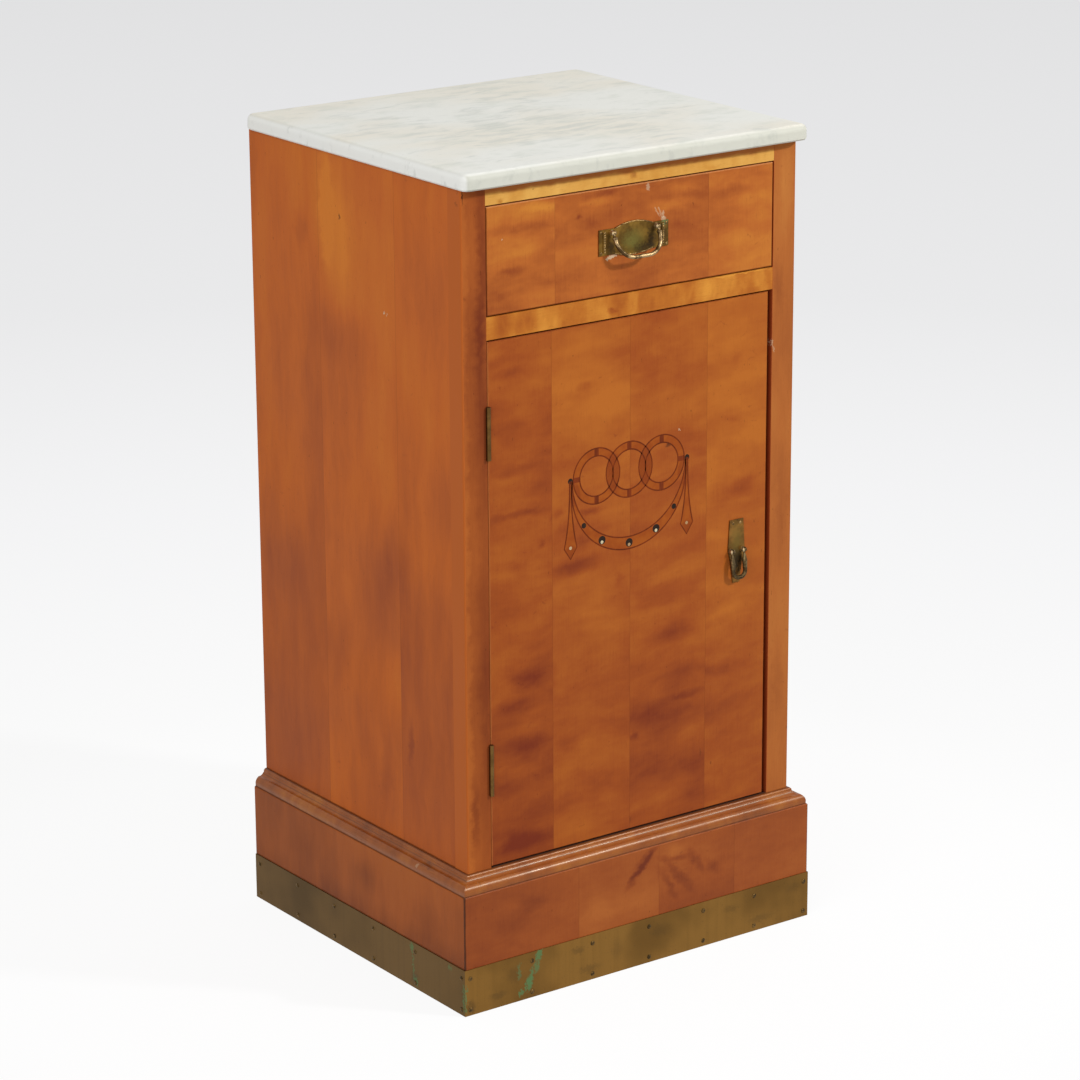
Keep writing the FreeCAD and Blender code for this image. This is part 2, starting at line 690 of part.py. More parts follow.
def make_plinth():
    """The plinth frame, its moulding, and the brass band with its nails."""
    ease = "Size.plinth_ease"
    face = "-Size.plinth_thick"
    plinth_section = [
        ("0", "0"),
        (face, "0"),
        (face, f"Size.plinth_tall - {ease}"),
        (f"{face} + {ease}", "Size.plinth_tall",
         f"{face} + {ease} * (1 - cos(45))", f"Size.plinth_tall - {ease} * (1 - cos(45))"),
        ("0", "Size.plinth_tall"),
    ]
    inset = "(Size.plinth_thick - Size.plinth_step)"
    make_surround("plinth", plinth_section, "Size.plinth_thick", inset, "0")
    rise = "Size.moulding_tall"
    out = "Size.moulding_out"
    moulding_section = [
        ("0", "0"),
        (f"-{out}", "0"),
        (f"-{out}", f"0.08 * {rise}"),
        (f"-0.72 * {out}", f"0.57 * {rise}", f"-0.925 * {out}", f"0.4 * {rise}"),
        (f"-0.31 * {out}", f"0.74 * {rise}", f"-0.47 * {out}", f"0.61 * {rise}"),
        (f"-0.24 * {out}", f"0.8 * {rise}"),
        (f"-0.07 * {out}", rise, f"-0.19 * {out}", f"0.95 * {rise}"),
        ("0", rise),
    ]
    make_surround("moulding", moulding_section, out, "0", "Size.plinth_tall")
    band_section = [
        ("0", "0"),
        ("-Size.band_thick", "0"),
        ("-Size.band_thick", "Size.band_tall"),
        ("0", "Size.band_tall"),
    ]
    make_surround("band", band_section, "Size.band_thick", "(-Size.plinth_step)", "0")
    inner_x = f"(Plan.half_x - {inset})"
    rear_y = "Plan.back_y - Size.plinth_back_thick"
    keep(board("plinth_back", f"-{inner_x}", rear_y, "0", f"2 * {inner_x}",
               "Size.plinth_back_thick", "Size.plinth_tall"))
    block = board("corner_block", "0", "0", "0", "Size.block_wide", "Size.block_wide",
                  "Size.block_tall")
    low = "Size.plinth_tall - Size.block_tall"
    front_y = f"Plan.front_y + {inset}"
    places = []
    for left_x in (f"-{inner_x}", f"{inner_x} - Size.block_wide"):
        places.append((left_x, front_y, low, UPRIGHT))
        places.append((left_x, f"{rear_y} - Size.block_wide", low, UPRIGHT))
    keep(group("plinth_corner_blocks", block, places))


def make_nail(label, radius, rise):
    """The head of a nail, flat side down: a low cone with its point cut off, in twelve facets."""
    nail = body(label)
    corners = [(f"{radius} * cos({angle})", f"{radius} * sin({angle})")
               for angle in range(0, 360, 30)]
    head = pad(nail, "head", outline(sketch(nail, "foot", "XY_Plane"), corners), rise)
    bind(head, TaperAngle=f"-atan(Size.nail_slope * {radius} / {rise})")
    return nail


def make_band_nails():
    """Two rows of dome nails along the three strips of the band."""
    nail = make_nail("band_nail", "Size.nail_radius", "Size.nail_rise")
    band_y = "Plan.front_y - Size.plinth_step - Size.band_thick"
    places = []
    for row in ("Size.nail_low", "Size.nail_high"):
        for share in SHARES_ALONG_FRONT:
            places.append((f"{share} * Plan.base_x", band_y, row, TO_FRONT))
        for share in SHARES_ALONG_SIDE:
            places.append(("-Plan.base_x", f"{share} * Plan.back_y", row, TO_LEFT))
            places.append(("Plan.base_x", f"{share} * Plan.back_y", row, TO_RIGHT))
    keep(group("band_nails", nail, places))


# ---------------------------------------------------------------- hinges and catch

def make_leaf(label, hand, first, count):
    """One hinge leaf round the pin axis: hand is the side it lies on, first its lowest knuckle."""
    leaf = body(label)
    near = f"{hand} * Size.leaf_gap / 2"
    far = f"{hand} * (Size.leaf_gap / 2 + Size.leaf_thick)"
    clear = "(Size.knuckle_radius + Size.knuckle_room)"
    plate = rectangle(sketch(leaf, "plate", "XY_Plane"), near, clear, far, "Size.leaf_wide")
    pad(leaf, "leaf", plate, "Size.hinge_long")
    pitch = "Size.hinge_long / 5"
    for number in range(count):
        low = f"{pitch} * {first + 2 * number} + Size.knuckle_gap / 2"
        tall = f"{pitch} - Size.knuckle_gap"
        tab = rectangle(sketch(leaf, f"tab{number}", "XY_Plane", low), near, "0", far, clear)
        pad(leaf, f"tab_{number}", tab, tall)
        barrel = circle(sketch(leaf, f"ring{number}", "XY_Plane", low), "0", "0",
                        "Size.knuckle_radius")
        pad(leaf, f"knuckle_{number}", barrel, tall)
    bore = circle(sketch(leaf, "bore", "XY_Plane"), "0", "0", "Size.pin_radius + Size.pin_fit")
    pierce(leaf, "bore_cut", bore)
    return leaf


def make_screw():
    """A countersunk screw, its head upwards and flush at the origin."""
    screw = body("hinge_screw")
    cone = "Size.leaf_thick"
    profile = [
        ("0", "0"),
        ("Size.screw_head", "0"),
        ("Size.screw_shank", f"-{cone}"),
        ("Size.screw_shank", "-Size.screw_long"),
        ("0", "-Size.screw_long"),
    ]
    turned(screw, "screw", outline(sketch(screw, "profile", "XZ_Plane"), profile))
    return screw


def screw_places(hand):
    """Where the screws of both hinges stand in the leaves on one hand."""
    depth = "Plan.hinge_y + (Size.leaf_wide + Size.knuckle_radius) / 2"
    face = f"Plan.hinge_x + {hand} * Size.leaf_gap / 2"
    heights = ("Size.screw_inset", "Size.hinge_long - Size.screw_inset")
    turn = TO_RIGHT if hand < 0 else TO_LEFT
    places = []
    for foot in ("Plan.hinge_low_z", "Plan.hinge_high_z"):
        for height in heights:
            places.append((face, depth, f"{foot} + {height}", turn))
    return places


def hinge_recess(name, hand):
    """What is cut away for both hinges on one hand: leaf housings and room for the knuckles."""
    thick = "(Size.leaf_gap / 2 + Size.leaf_thick)"
    left_edge = "Plan.hinge_x" if hand > 0 else f"Plan.hinge_x - {thick}"
    tools = []
    for level in ("low", "high"):
        foot = f"Plan.hinge_{level}_z"
        tools.append(board(f"{name}_housing_{level}", left_edge, "Plan.hinge_y", foot, thick,
                           "Size.leaf_wide", "Size.hinge_long"))
        tools.append(rod(f"{name}_knuckle_room_{level}",
                         "Size.knuckle_radius + Size.knuckle_room", "Size.hinge_long",
                         "Plan.hinge_x", "Plan.hinge_y", foot))
    return tools


def make_hinges():
    """Both butt hinges: leaves, pins and screws.  Returns what they cut from stile and door."""
    screw = make_screw()
    feet = ("Plan.hinge_low_z", "Plan.hinge_high_z")
    places = [("Plan.hinge_x", "Plan.hinge_y", foot, UPRIGHT) for foot in feet]
    cutters = {}
    for owner, hand, first, count in (("frame", -1, 0, 3), ("door", 1, 1, 2)):
        leaf = make_leaf(f"hinge_{owner}_leaf", hand, first, count)
        blanks = group(f"hinge_{owner}_leaf_blanks", leaf, places)
        screws = group(f"hinge_{owner}_screws", screw, screw_places(hand))
        keep(cut(f"hinge_{owner}_leaves", blanks, screws))
        keep(screws)
        cutters[owner] = hinge_recess(owner, hand) + [screws]
    pin = rod("hinge_pin", "Size.pin_radius", "Size.hinge_long", "0", "0", "0")
    keep(group("hinge_pins", pin, places))
    return cutters


def make_catch():
    """The spring clip beside the door stop, and the round-headed stud that enters it."""
    clip = body("catch_clip")
    gap = "(Size.stud_ball + Size.clip_play)"
    outer = f"({gap} + Size.clip_thick)"
    foot = rectangle(sketch(clip, "foot", "YZ_Plane"), "0", "-Size.clip_foot / 2",
                     "Size.clip_deep", "Size.clip_foot / 2")
    pad(clip, "foot_plate", foot, "Size.clip_thick", back=True)
    for name, low, high in (("lower", f"-{outer}", f"-{gap}"), ("upper", gap, outer)):
        jaw = rectangle(sketch(clip, name, "YZ_Plane"), "0", low, "Size.clip_deep", high)
        reach = "Size.catch_inset + Size.clip_wide / 2"
        pad(clip, f"{name}_jaw", jaw, reach, back=True)
    put(clip, "Plan.stop_x", "Plan.stile_back_y", "Plan.catch_z")
    keep(clip)
    stud = body("catch_stud")
    ball = "Size.stud_ball"
    profile = [
        ("0", "0"),
        ("2 * Size.stud_neck", "0"),
        ("Size.stud_neck", "Size.stud_neck"),
        ("Size.stud_neck", f"Size.stud_reach - {ball}"),
        (ball, f"Size.stud_reach - {ball} / 3"),
        (ball, f"Size.stud_reach + {ball} / 3"),
        (f"{ball} / 3", f"Size.stud_reach + {ball}"),
        ("0", f"Size.stud_reach + {ball}"),
    ]
    turned(stud, "stud", outline(sketch(stud, "profile", "XZ_Plane"), profile))
    stud.Placement.Rotation = Rotation(Vector(1, 0, 0), -90)
    put(stud, "Plan.catch_x", "Plan.door_back_y", "Plan.catch_z")
    keep(stud)


# ---------------------------------------------------------------- inlay

def disc(label, radius, x, z):
    """A round of veneer, flush with the face of the door."""
    return rod(label, radius, "Size.inlay_thick", x, "Plan.inlay_y", z, TO_FRONT)


def washer(label, outer, inner, x, z):
    """A ring of veneer."""
    return cut(label, disc(f"{label}_outside", outer, x, z), disc(f"{label}_inside", inner, x, z))


def make_drop(name, hand):
    """One drop of the festoon: a slim kite with hollow sides, hung from the end stud."""
    drop = body(f"{name}_drop")
    middle = "-Size.drop_widest / 2"
    corners = [
        ("-Size.drop_neck", "0"),
        ("-Size.drop_half", "-Size.drop_widest", "-Size.drop_waist", middle),
        ("0", "-Size.drop_long"),
        ("Size.drop_half", "-Size.drop_widest"),
        ("Size.drop_neck", "0", "Size.drop_waist", middle),
    ]
    shape = outline(sketch(drop, "shape", "XZ_Plane"), corners)
    pad(drop, "veneer", shape, "Size.inlay_thick")
    put(drop, f"Plan.inlay_x + {hand} * Size.festoon_out", "Plan.inlay_y", "Plan.inlay_z")
    return drop


def make_inlay():
    """Three linked rings, a festoon from stud to stud below them, and a drop at each end.

    Returns what the door is cut for.
    """
    bands = []
    blocks = []
    mid_radius = "(Size.ring_outer + Size.ring_inner) / 2"
    band_wide = "(Size.ring_outer - Size.ring_inner)"
    for number in (-1, 0, 1):
        x = f"Plan.inlay_x + {number} * Size.ring_step"
        tag = f"ring{number + 2}"
        bands.append(washer(f"{tag}_band", "Size.ring_outer", "Size.ring_inner", x, "Plan.inlay_z"))
        for way, side in (("top", 1), ("foot", -1)):
            blocks.append(board(f"{tag}_{way}_block", f"{x} - Size.ring_block / 2", "Plan.front_y",
                                f"Plan.inlay_z + {side} * {mid_radius} - {band_wide} / 2",
                                "Size.ring_block", "Size.inlay_thick", band_wide))
    for name, hand in HANDS:
        left_edge = f"Plan.inlay_x + {hand} * (Size.ring_step + {mid_radius}) - {band_wide} / 2"
        blocks.append(board(f"{name}_end_block", left_edge, "Plan.front_y",
                            "Plan.inlay_z - Size.ring_block / 2", band_wide,
                            "Size.inlay_thick", "Size.ring_block"))
    outer_z = "Plan.inlay_z - Size.festoon_outer_drop"
    inner_z = "Plan.inlay_z - Size.festoon_inner_drop"
    outside = disc("festoon_outside", "Size.festoon_outer", "Plan.inlay_x", outer_z)
    inside = disc("festoon_inside", "Size.festoon_inner", "Plan.inlay_x", inner_z)
    crescent = cut("festoon_crescent", outside, inside)
    drops = [make_drop(name, hand) for name, hand in HANDS]
    ebony, pearls = make_inlay_studs(outer_z, inner_z)
    ring_field = joined("ring_field", *bands)
    block_field = doc.addObject("Part::MultiCommon", "block_field")
    block_field.Shapes = [joined("block_blanks", *blocks), ring_field]
    dark = keep(cut("inlay_blocks", block_field, ebony))
    keep(cut("inlay_rings", ring_field, dark, ebony))
    keep(cut("inlay_festoon", crescent, ring_field, ebony, pearls))
    keep(cut("inlay_drops", joined("drop_field", *drops), crescent, ring_field, ebony, pearls))
    return [joined("inlay_whole", ring_field, crescent, *drops, ebony, pearls)]


def make_inlay_studs(outer_z, inner_z):
    """Ebony studs at the ends and along the festoon, and pearls in the large studs and drops."""
    studs = []
    pearls = []
    for name, hand in HANDS:
        end_x = f"Plan.inlay_x + {hand} * Size.festoon_out"
        studs.append(disc(f"{name}_end_stud", "Size.stud_end", end_x, "Plan.inlay_z"))
        pearls.append(disc(f"{name}_drop_pearl", "Size.pearl_radius", end_x,
                           "Plan.inlay_z - Size.drop_widest"))
    along = [("small", -1), ("large", -1), ("large", 0), ("large", 1), ("small", 1)]
    for number, (kind, hand) in enumerate(along, start=1):
        angle = f"({abs(hand)} * Size.stud_{kind}_angle)"
        radius = "(Size.festoon_outer + Size.festoon_inner) / 2"
        x = f"Plan.inlay_x + {hand} * {radius} * sin({angle})"
        z = f"(({outer_z}) + ({inner_z})) / 2 - {radius} * cos({angle})"
        studs.append(disc(f"festoon_stud{number}", f"Size.stud_{kind}", x, z))
        if kind == "large":
            pearls.append(disc(f"festoon_pearl{number}", "Size.pearl_radius", x,
                               f"{z} - Size.pearl_drop"))
    pearl_piece = doc.addObject("Part::Compound", "pearl_studs")
    pearl_piece.Links = pearls
    ebony = cut("ebony_studs", joined("ebony_blanks", *studs), pearl_piece)
    return keep(ebony), keep(pearl_piece)


# ---------------------------------------------------------------- door and drawer

def make_face(label, left, low, right, high, thick):
    """A flush front of veneered board: flat, with its front edges just eased."""
    face = body(label)
    area = rectangle(sketch(face, "outline", "XZ_Plane"), left, low, right, high)
    block = pad(face, "board", area, thick, back=True)
    eased(face, "Chamfer", "ease", block, lambda edge: lies_at(edge, "Y", 0),
          Size="Size.front_ease")
    put(face, "0", "Plan.front_y", "0")
    return face


def make_door(*lets_in):
    """The door, housed for its hinges and inlay."""
    blank = make_face("door_panel_blank", "Plan.door_left_x", "Plan.door_low_z",
                      "Plan.door_right_x", "Plan.door_top_z", "Size.door_thick")
    keep(cut("door_panel", blank, *lets_in))


def make_pin_cutter(label, long):
    """The space between two tails: a wedge across the drawer side, narrow at the end y = 0."""
    wedge = body(label)
    wide = "(Size.pin_narrow + Size.pin_flare)"
    corners = [("0", "-Size.pin_narrow"), (long, f"-{wide}"), (long, wide), ("0", "Size.pin_narrow")]
    shape = outline(sketch(wedge, "shape", "YZ_Plane"), corners)
    pad(wedge, "wedge", shape, "4 * Size.drawer_side_thick", both=True)
    return wedge


def make_drawer():
    """The drawer box: half-blind dovetails in front, through dovetails behind, bottom in grooves."""
    inner_x = "(Plan.drawer_x - Size.drawer_side_thick)"
    bottom_half = f"({inner_x} + Size.bottom_groove)"
    bottom_y = "Plan.drawer_back_y - (Size.drawer_front_thick - Size.drawer_lap) / 2"
    bottom = keep(board("drawer_bottom", f"-{bottom_half}", bottom_y, "Plan.bottom_z",
                        f"2 * {bottom_half}", f"Plan.drawer_end_y - ({bottom_y})",
                        "Size.bottom_thick"))
    tail_y = "Plan.front_y + Size.drawer_lap"
    front_pin = make_pin_cutter("front_pin", "Size.drawer_front_thick - Size.drawer_lap")
    back_pin = make_pin_cutter("back_pin", "Size.drawer_back_thick")
    turned_round = Rotation(Vector(0, 0, 1), 180)
    sides = []
    for name, hand in HANDS:
        middle = f"{hand} * (Plan.drawer_x - Size.drawer_side_thick / 2)"
        blank = board_on_hand(f"drawer_{name}_side_blank", hand, inner_x, "Plan.drawer_x", tail_y,
                              "Plan.side_low_z", f"Plan.drawer_end_y - ({tail_y})",
                              "Plan.side_top_z - Plan.side_low_z")
        front_places = [(middle, tail_y, f"Plan.side_low_z + {number} * Plan.tail_pitch", UPRIGHT)
                        for number in range(4)]
        back_places = [(middle, "Plan.drawer_end_y",
                        f"Plan.side_low_z + {number} * Plan.tail_pitch", turned_round)
                       for number in (1, 2)]
        side = cut(f"drawer_{name}_side", blank, bottom,
                   group(f"drawer_{name}_front_pins", front_pin, front_places),
                   group(f"drawer_{name}_back_pins", back_pin, back_places))
        sides.append(keep(side))
    front = make_face("drawer_front_blank", "-Plan.drawer_x", "Plan.drawer_low_z",
                      "Plan.drawer_x", "Plan.drawer_top_z", "Size.drawer_front_thick")
    keep(cut("drawer_front", front, bottom, *sides))
    back_low = "(Plan.bottom_z + Size.bottom_thick)"
    back = board("drawer_back_blank", "-Plan.drawer_x",
                 "Plan.drawer_end_y - Size.drawer_back_thick", back_low, "2 * Plan.drawer_x",
                 "Size.drawer_back_thick",
                 f"Plan.side_top_z - Size.drawer_back_drop - {back_low}")
    keep(cut("drawer_back", back, *sides))


# ---------------------------------------------------------------- pulls

def make_drawer_plate():
    """The drawer's backplate: straight ends with a raised rib, arched between them."""
    plate = body("drawer_pull_plate")
    half = "Size.pull_half"
    high = "Size.pull_tall / 2"
    lobe = "Size.pull_lobe_half"
    corners = [
        (f"-{half}", f"-{high}"),
        (f"-{lobe}", f"-{high}"),
        (lobe, f"-{high}", "0", f"-{high} - Size.pull_lobe_drop"),
        (half, f"-{high}"),
        (half, high),
        (lobe, high),
        (f"-{lobe}", high, "0", f"{high} + Size.pull_lobe_rise"),
        (f"-{half}", high),
    ]
    pad(plate, "plate", outline(sketch(plate, "shape", "XZ_Plane"), corners), "Size.plate_thick")
    rib_far = f"({half} - Size.rib_in)"
    rib_near = f"({rib_far} - Size.rib_wide)"
    rib_high = f"({high} - Size.rib_margin)"
    for name, hand in HANDS:
        rib = sketch(plate, f"{name}_rib", "XZ_Plane")
        rectangle(rib, f"{hand} * {rib_near}", f"-{rib_high}", f"{hand} * {rib_far}", rib_high)
        pad(plate, f"{name}_raised", rib, "Size.plate_thick + Size.rib_out")
    put(plate, "0", "Plan.front_y", "Plan.pull_z")
    keep(plate)


def make_door_plate():
    """The door's backplate: straight head, widest at the posts, tapering to its foot."""
    plate = body("door_pull_plate")
    top_half = "Size.door_plate_top_half"
    half = "Size.door_plate_half"
    foot_half = "Size.door_plate_foot_half"
    via_half = f"(0.36 * {half} + 0.64 * {foot_half})"
    corners = [
        (f"-{foot_half}", "-Size.door_plate_foot", f"-{via_half}", "-0.5 * Size.door_plate_foot"),
        (foot_half, "-Size.door_plate_foot"),
        (half, "0", via_half, "-0.5 * Size.door_plate_foot"),
        (top_half, "Size.door_plate_top"),
        (f"-{top_half}", "Size.door_plate_top"),
        (f"-{half}", "0"),
    ]
    pad(plate, "plate", outline(sketch(plate, "shape", "XZ_Plane"), corners), "Size.plate_thick")
    put(plate, "Plan.door_pull_x", "Plan.front_y", "Plan.door_pull_z")
    keep(plate)


def make_post():
    """A forked post: domed, slotted for the bail's eye, with the pivot across the slot."""
    post = body("pull_post")
    shank = circle(sketch(post, "shank", "XZ_Plane"), "0", "0", "Size.post_radius")
    stem = pad(post, "stem", shank, "Size.post_long")
    tip = -value("Size.post_long")
    eased(post, "Chamfer", "dome", stem, lambda edge: lies_at(edge, "Y", tip),
          Size="Size.post_dome")
    slot = sketch(post, "slot", "XY_Plane")
    slot_y = "-Size.pivot_out + Size.eye_radius + Size.slot_room"
    rectangle(slot, "-Size.post_slot / 2", "-Size.post_long", "Size.post_slot / 2", slot_y)
    pierce(post, "slot_cut", slot)
    pivot = circle(sketch(post, "pivot", "YZ_Plane"), "-Size.pivot_out", "0", "Size.pivot_radius")
    pad(post, "pivot_pin", pivot, "Size.post_slot + Size.pivot_radius", both=True)
    return post


def make_bail(label, out, drop, wire, bend, swell, tilt):
    """A bail that hangs from two eyes: swelling arms, round bends and a straight grip.

    It is drawn in its own plane, with the pivot axis along X through the origin, then tilted.
    """
    bail = body(label)
    arm_end = f"(-{drop} + {bend})"
    straight = f"({out} - {bend})"
    rod_end = sketch(bail, "grip_end", "YZ_Plane")
    pad(bail, "grip", circle(rod_end, "0", f"-{drop}", wire), f"2 * {straight}", both=True)
    neck = "-Size.post_long + Size.pivot_out - Size.arm_room"
    for name, hand in HANDS:
        section = sketch(bail, f"{name}_section", "XY_Plane", arm_end, f"{hand} * {straight}")
        circle(section, f"{hand} * {bend}", "0", wire)
        turned(bail, f"{name}_bend", section, angle=90.0, back=hand < 0)
        middle = f"({hand} * {out})"
        profile = outline(sketch(bail, f"{name}_arm", "XZ_Plane", shift=middle), [
            ("0", "-Size.eye_radius / 2"),
            ("Size.arm_neck", "-Size.eye_radius / 2"),
            ("Size.arm_neck", neck),
            (swell, f"0.55 * ({neck}) + 0.45 * {arm_end}"),
            (wire, arm_end),
            ("0", arm_end),
        ])
        turned(bail, f"{name}_swelling", profile)
        eye = sketch(bail, f"{name}_eye", "YZ_Plane", f"{middle} - Size.eye_thick / 2")
        pad(bail, f"{name}_eye_disc", circle(eye, "0", "0", "Size.eye_radius"), "Size.eye_thick")
    bore = circle(sketch(bail, "bore", "YZ_Plane"), "0", "0", "Size.pivot_radius + Size.pivot_fit")
    pierce(bail, "bore_cut", bore)
    bail.Placement = Placement(Vector(), Rotation(Vector(-1, 0, 0), value(tilt)))
    bind(bail, **{"Placement.Rotation.Angle": tilt})
    return bail


def make_pulls():
    """Both pulls: plates, dome nails, forked posts and swinging bails."""
    make_drawer_plate()
    make_door_plate()
    nail = make_nail("pull_nail", "Size.pull_nail_radius", "Size.nail_rise")
    nail_x = "(Size.pull_half - Size.pull_nail_in)"
    nail_z = "(Size.pull_tall / 2 - Size.pull_nail_in)"
    corners = [(f"{hand} * {nail_x}", "Plan.plate_y", f"Plan.pull_z + {side} * {nail_z}", TO_FRONT)
               for name, hand in HANDS for side in (-1, 1)]
    keep(group("drawer_pull_nails", nail, corners))
    head_z = "Plan.door_pull_z + Size.door_plate_top - Size.door_nail_down"
    heads = [(f"Plan.door_pull_x + {hand} * Size.door_nail_out", "Plan.plate_y", head_z, TO_FRONT)
             for name, hand in HANDS]
    keep(group("door_pull_nails", nail, heads))
    post = make_post()
    pivot_z = "Plan.pull_z + Size.pull_post_rise"
    feet = [(f"{hand} * Size.pull_post_out", "Plan.plate_y", pivot_z, UPRIGHT)
            for name, hand in HANDS]
    keep(group("drawer_pull_posts", post, feet))
    feet = [(f"Plan.door_pull_x + {hand} * Size.door_post_out", "Plan.plate_y",
             "Plan.door_pull_z", UPRIGHT) for name, hand in HANDS]
    keep(group("door_pull_posts", post, feet))
    bail = make_bail("drawer_bail", "Size.pull_post_out", "Size.bail_drop", "Size.bail_wire",
                     "Size.bail_bend", "Size.bail_swell", "Size.bail_tilt")
    put(bail, "0", "Plan.pivot_y", pivot_z)
    keep(bail)
    bail = make_bail("door_bail", "Size.door_post_out", "Size.door_bail_drop",
                     "Size.door_bail_wire", "Size.door_bail_bend", "Size.door_bail_swell",
                     "Size.door_bail_tilt")
    put(bail, "Plan.door_pull_x", "Plan.pivot_y", "Plan.door_pull_z")
    keep(bail)


def assemble():
    """Build every piece in order."""
    make_marble()
    panels = {name: make_side(name, hand) for name, hand in HANDS}
    top_rail = make_rail("top_front_rail", "Plan.top_rail_z", "Size.top_rail_tall", False)
    middle_rail = make_rail("middle_rail", "Plan.middle_rail_z", "Size.middle_rail_tall", True)
    cutters = make_hinges()
    make_stile("left", -1, panels["left"], top_rail, middle_rail, *cutters["frame"])
    make_stile("right", 1, panels["right"], top_rail, middle_rail)
    make_floor()
    for name, hand in HANDS:
        make_runner(name, hand)
    make_carcase_inside()
    make_plinth()
    make_band_nails()
    make_catch()
    make_drawer()
    make_pulls()
    inlay = make_inlay()
    make_door(*inlay, *cutters["door"])


def check_and_export():
    """Stop on any failed object or unsound piece, then write one STEP file to a piece."""
    doc.recompute()
    for thing in doc.Objects:
        if "Invalid" in thing.State or "Error" in thing.State:
            raise RuntimeError(f"{thing.Label} failed: {thing.State}")
    for piece in pieces:
        if piece.Shape.isNull() or not piece.Shape.isValid() or not piece.Shape.Solids:
            raise RuntimeError(f"{piece.Label} has no sound shape")
    os.makedirs("parts", exist_ok=True)
    for piece in pieces:
        piece.Shape.exportStep(f"parts/{piece.Label}.step")
    print(len(pieces), "pieces,", sum(len(piece.Shape.Solids) for piece in pieces), "solids")


fill_sheet("Size", SIZES)
plan = fill_sheet("Plan", PLAN)
assemble()
check_and_export()
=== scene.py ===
"""Looks of a bedside pot cupboard: birch veneer, marble top, inlaid door, brass pulls and band.

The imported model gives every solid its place. This script dresses those solids, adds the work that
is too fine for them (stringing, dome nails, beads, rims) and sets up a plain pale studio.
"""
import logging
import math
from dataclasses import dataclass
from enum import Enum

import bpy
from mathutils import Matrix, Vector

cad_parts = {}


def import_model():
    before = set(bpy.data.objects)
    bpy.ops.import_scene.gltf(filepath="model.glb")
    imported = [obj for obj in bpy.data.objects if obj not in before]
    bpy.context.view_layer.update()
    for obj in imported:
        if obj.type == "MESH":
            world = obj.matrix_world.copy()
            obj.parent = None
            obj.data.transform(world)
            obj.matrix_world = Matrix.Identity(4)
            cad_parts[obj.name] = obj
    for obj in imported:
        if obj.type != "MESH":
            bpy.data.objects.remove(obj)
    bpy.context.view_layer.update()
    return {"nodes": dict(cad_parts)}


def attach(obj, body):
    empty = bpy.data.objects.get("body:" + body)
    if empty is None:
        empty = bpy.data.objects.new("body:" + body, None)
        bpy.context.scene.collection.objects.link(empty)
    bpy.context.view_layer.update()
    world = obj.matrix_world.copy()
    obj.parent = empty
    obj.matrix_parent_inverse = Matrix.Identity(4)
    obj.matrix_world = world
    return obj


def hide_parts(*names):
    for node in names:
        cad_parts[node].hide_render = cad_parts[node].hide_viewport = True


log = logging.getLogger("pot_cupboard")
MM = 0.001
Colour = tuple[float, float, float]
Number3 = tuple[float, float, float]
Stops = tuple[tuple[float, Colour], ...]
HALF: Number3 = (0.5, 0.5, 0.5)

# The curve of a screen's colours: a straight foot, then a power.
FOOT_END, FOOT_SLOPE = 0.04045, 12.92
CURVE_SHIFT, CURVE_POWER = 0.055, 2.4


def paint(colour: Colour) -> tuple[float, float, float, float]:
    """Turn a screen colour of 0 to 255 into the linear colour that shaders use.

    Args:
        colour: Red, green and blue as a screen shows them.

    Returns:
        Linear red, green, blue and an alpha of one.
    """
    shares = [channel / 255 for channel in colour]
    linear = [share / FOOT_SLOPE if share <= FOOT_END
              else ((share + CURVE_SHIFT) / (1 + CURVE_SHIFT)) ** CURVE_POWER for share in shares]
    return linear[0], linear[1], linear[2], 1.0


# ------------------------------------------------------------------ node building


class Wire:
    """The output of a node, with sums written as plain Python."""

    def __init__(self, bench: "Bench", socket: bpy.types.NodeSocket | None) -> None:
        """Keep the socket and the bench whose tree it belongs to."""
        self.bench = bench
        self.socket = socket

    def __add__(self, other: "Wire | float") -> "Wire":
        """Give self + other."""
        return self.bench.math("ADD", self, other)

    def __radd__(self, other: float) -> "Wire":
        """Give other + self."""
        return self.bench.math("ADD", other, self)

    def __sub__(self, other: "Wire | float") -> "Wire":
        """Give self - other."""
        return self.bench.math("SUBTRACT", self, other)

    def __rsub__(self, other: float) -> "Wire":
        """Give other - self."""
        return self.bench.math("SUBTRACT", other, self)

    def __mul__(self, other: "Wire | float") -> "Wire":
        """Give self * other."""
        return self.bench.math("MULTIPLY", self, other)

    def __rmul__(self, other: float) -> "Wire":
        """Give other * self."""
        return self.bench.math("MULTIPLY", other, self)

    def __truediv__(self, other: "Wire | float") -> "Wire":
        """Give self / other."""
        return self.bench.math("DIVIDE", self, other)

    def __rtruediv__(self, other: float) -> "Wire":
        """Give other / self."""
        return self.bench.math("DIVIDE", other, self)

    def __gt__(self, other: "Wire | float") -> "Wire":
        """Give one where self is above other, and nought elsewhere."""
        return self.bench.math("GREATER_THAN", self, other)

    def __lt__(self, other: "Wire | float") -> "Wire":
        """Give one where self is below other, and nought elsewhere."""
        return self.bench.math("LESS_THAN", self, other)


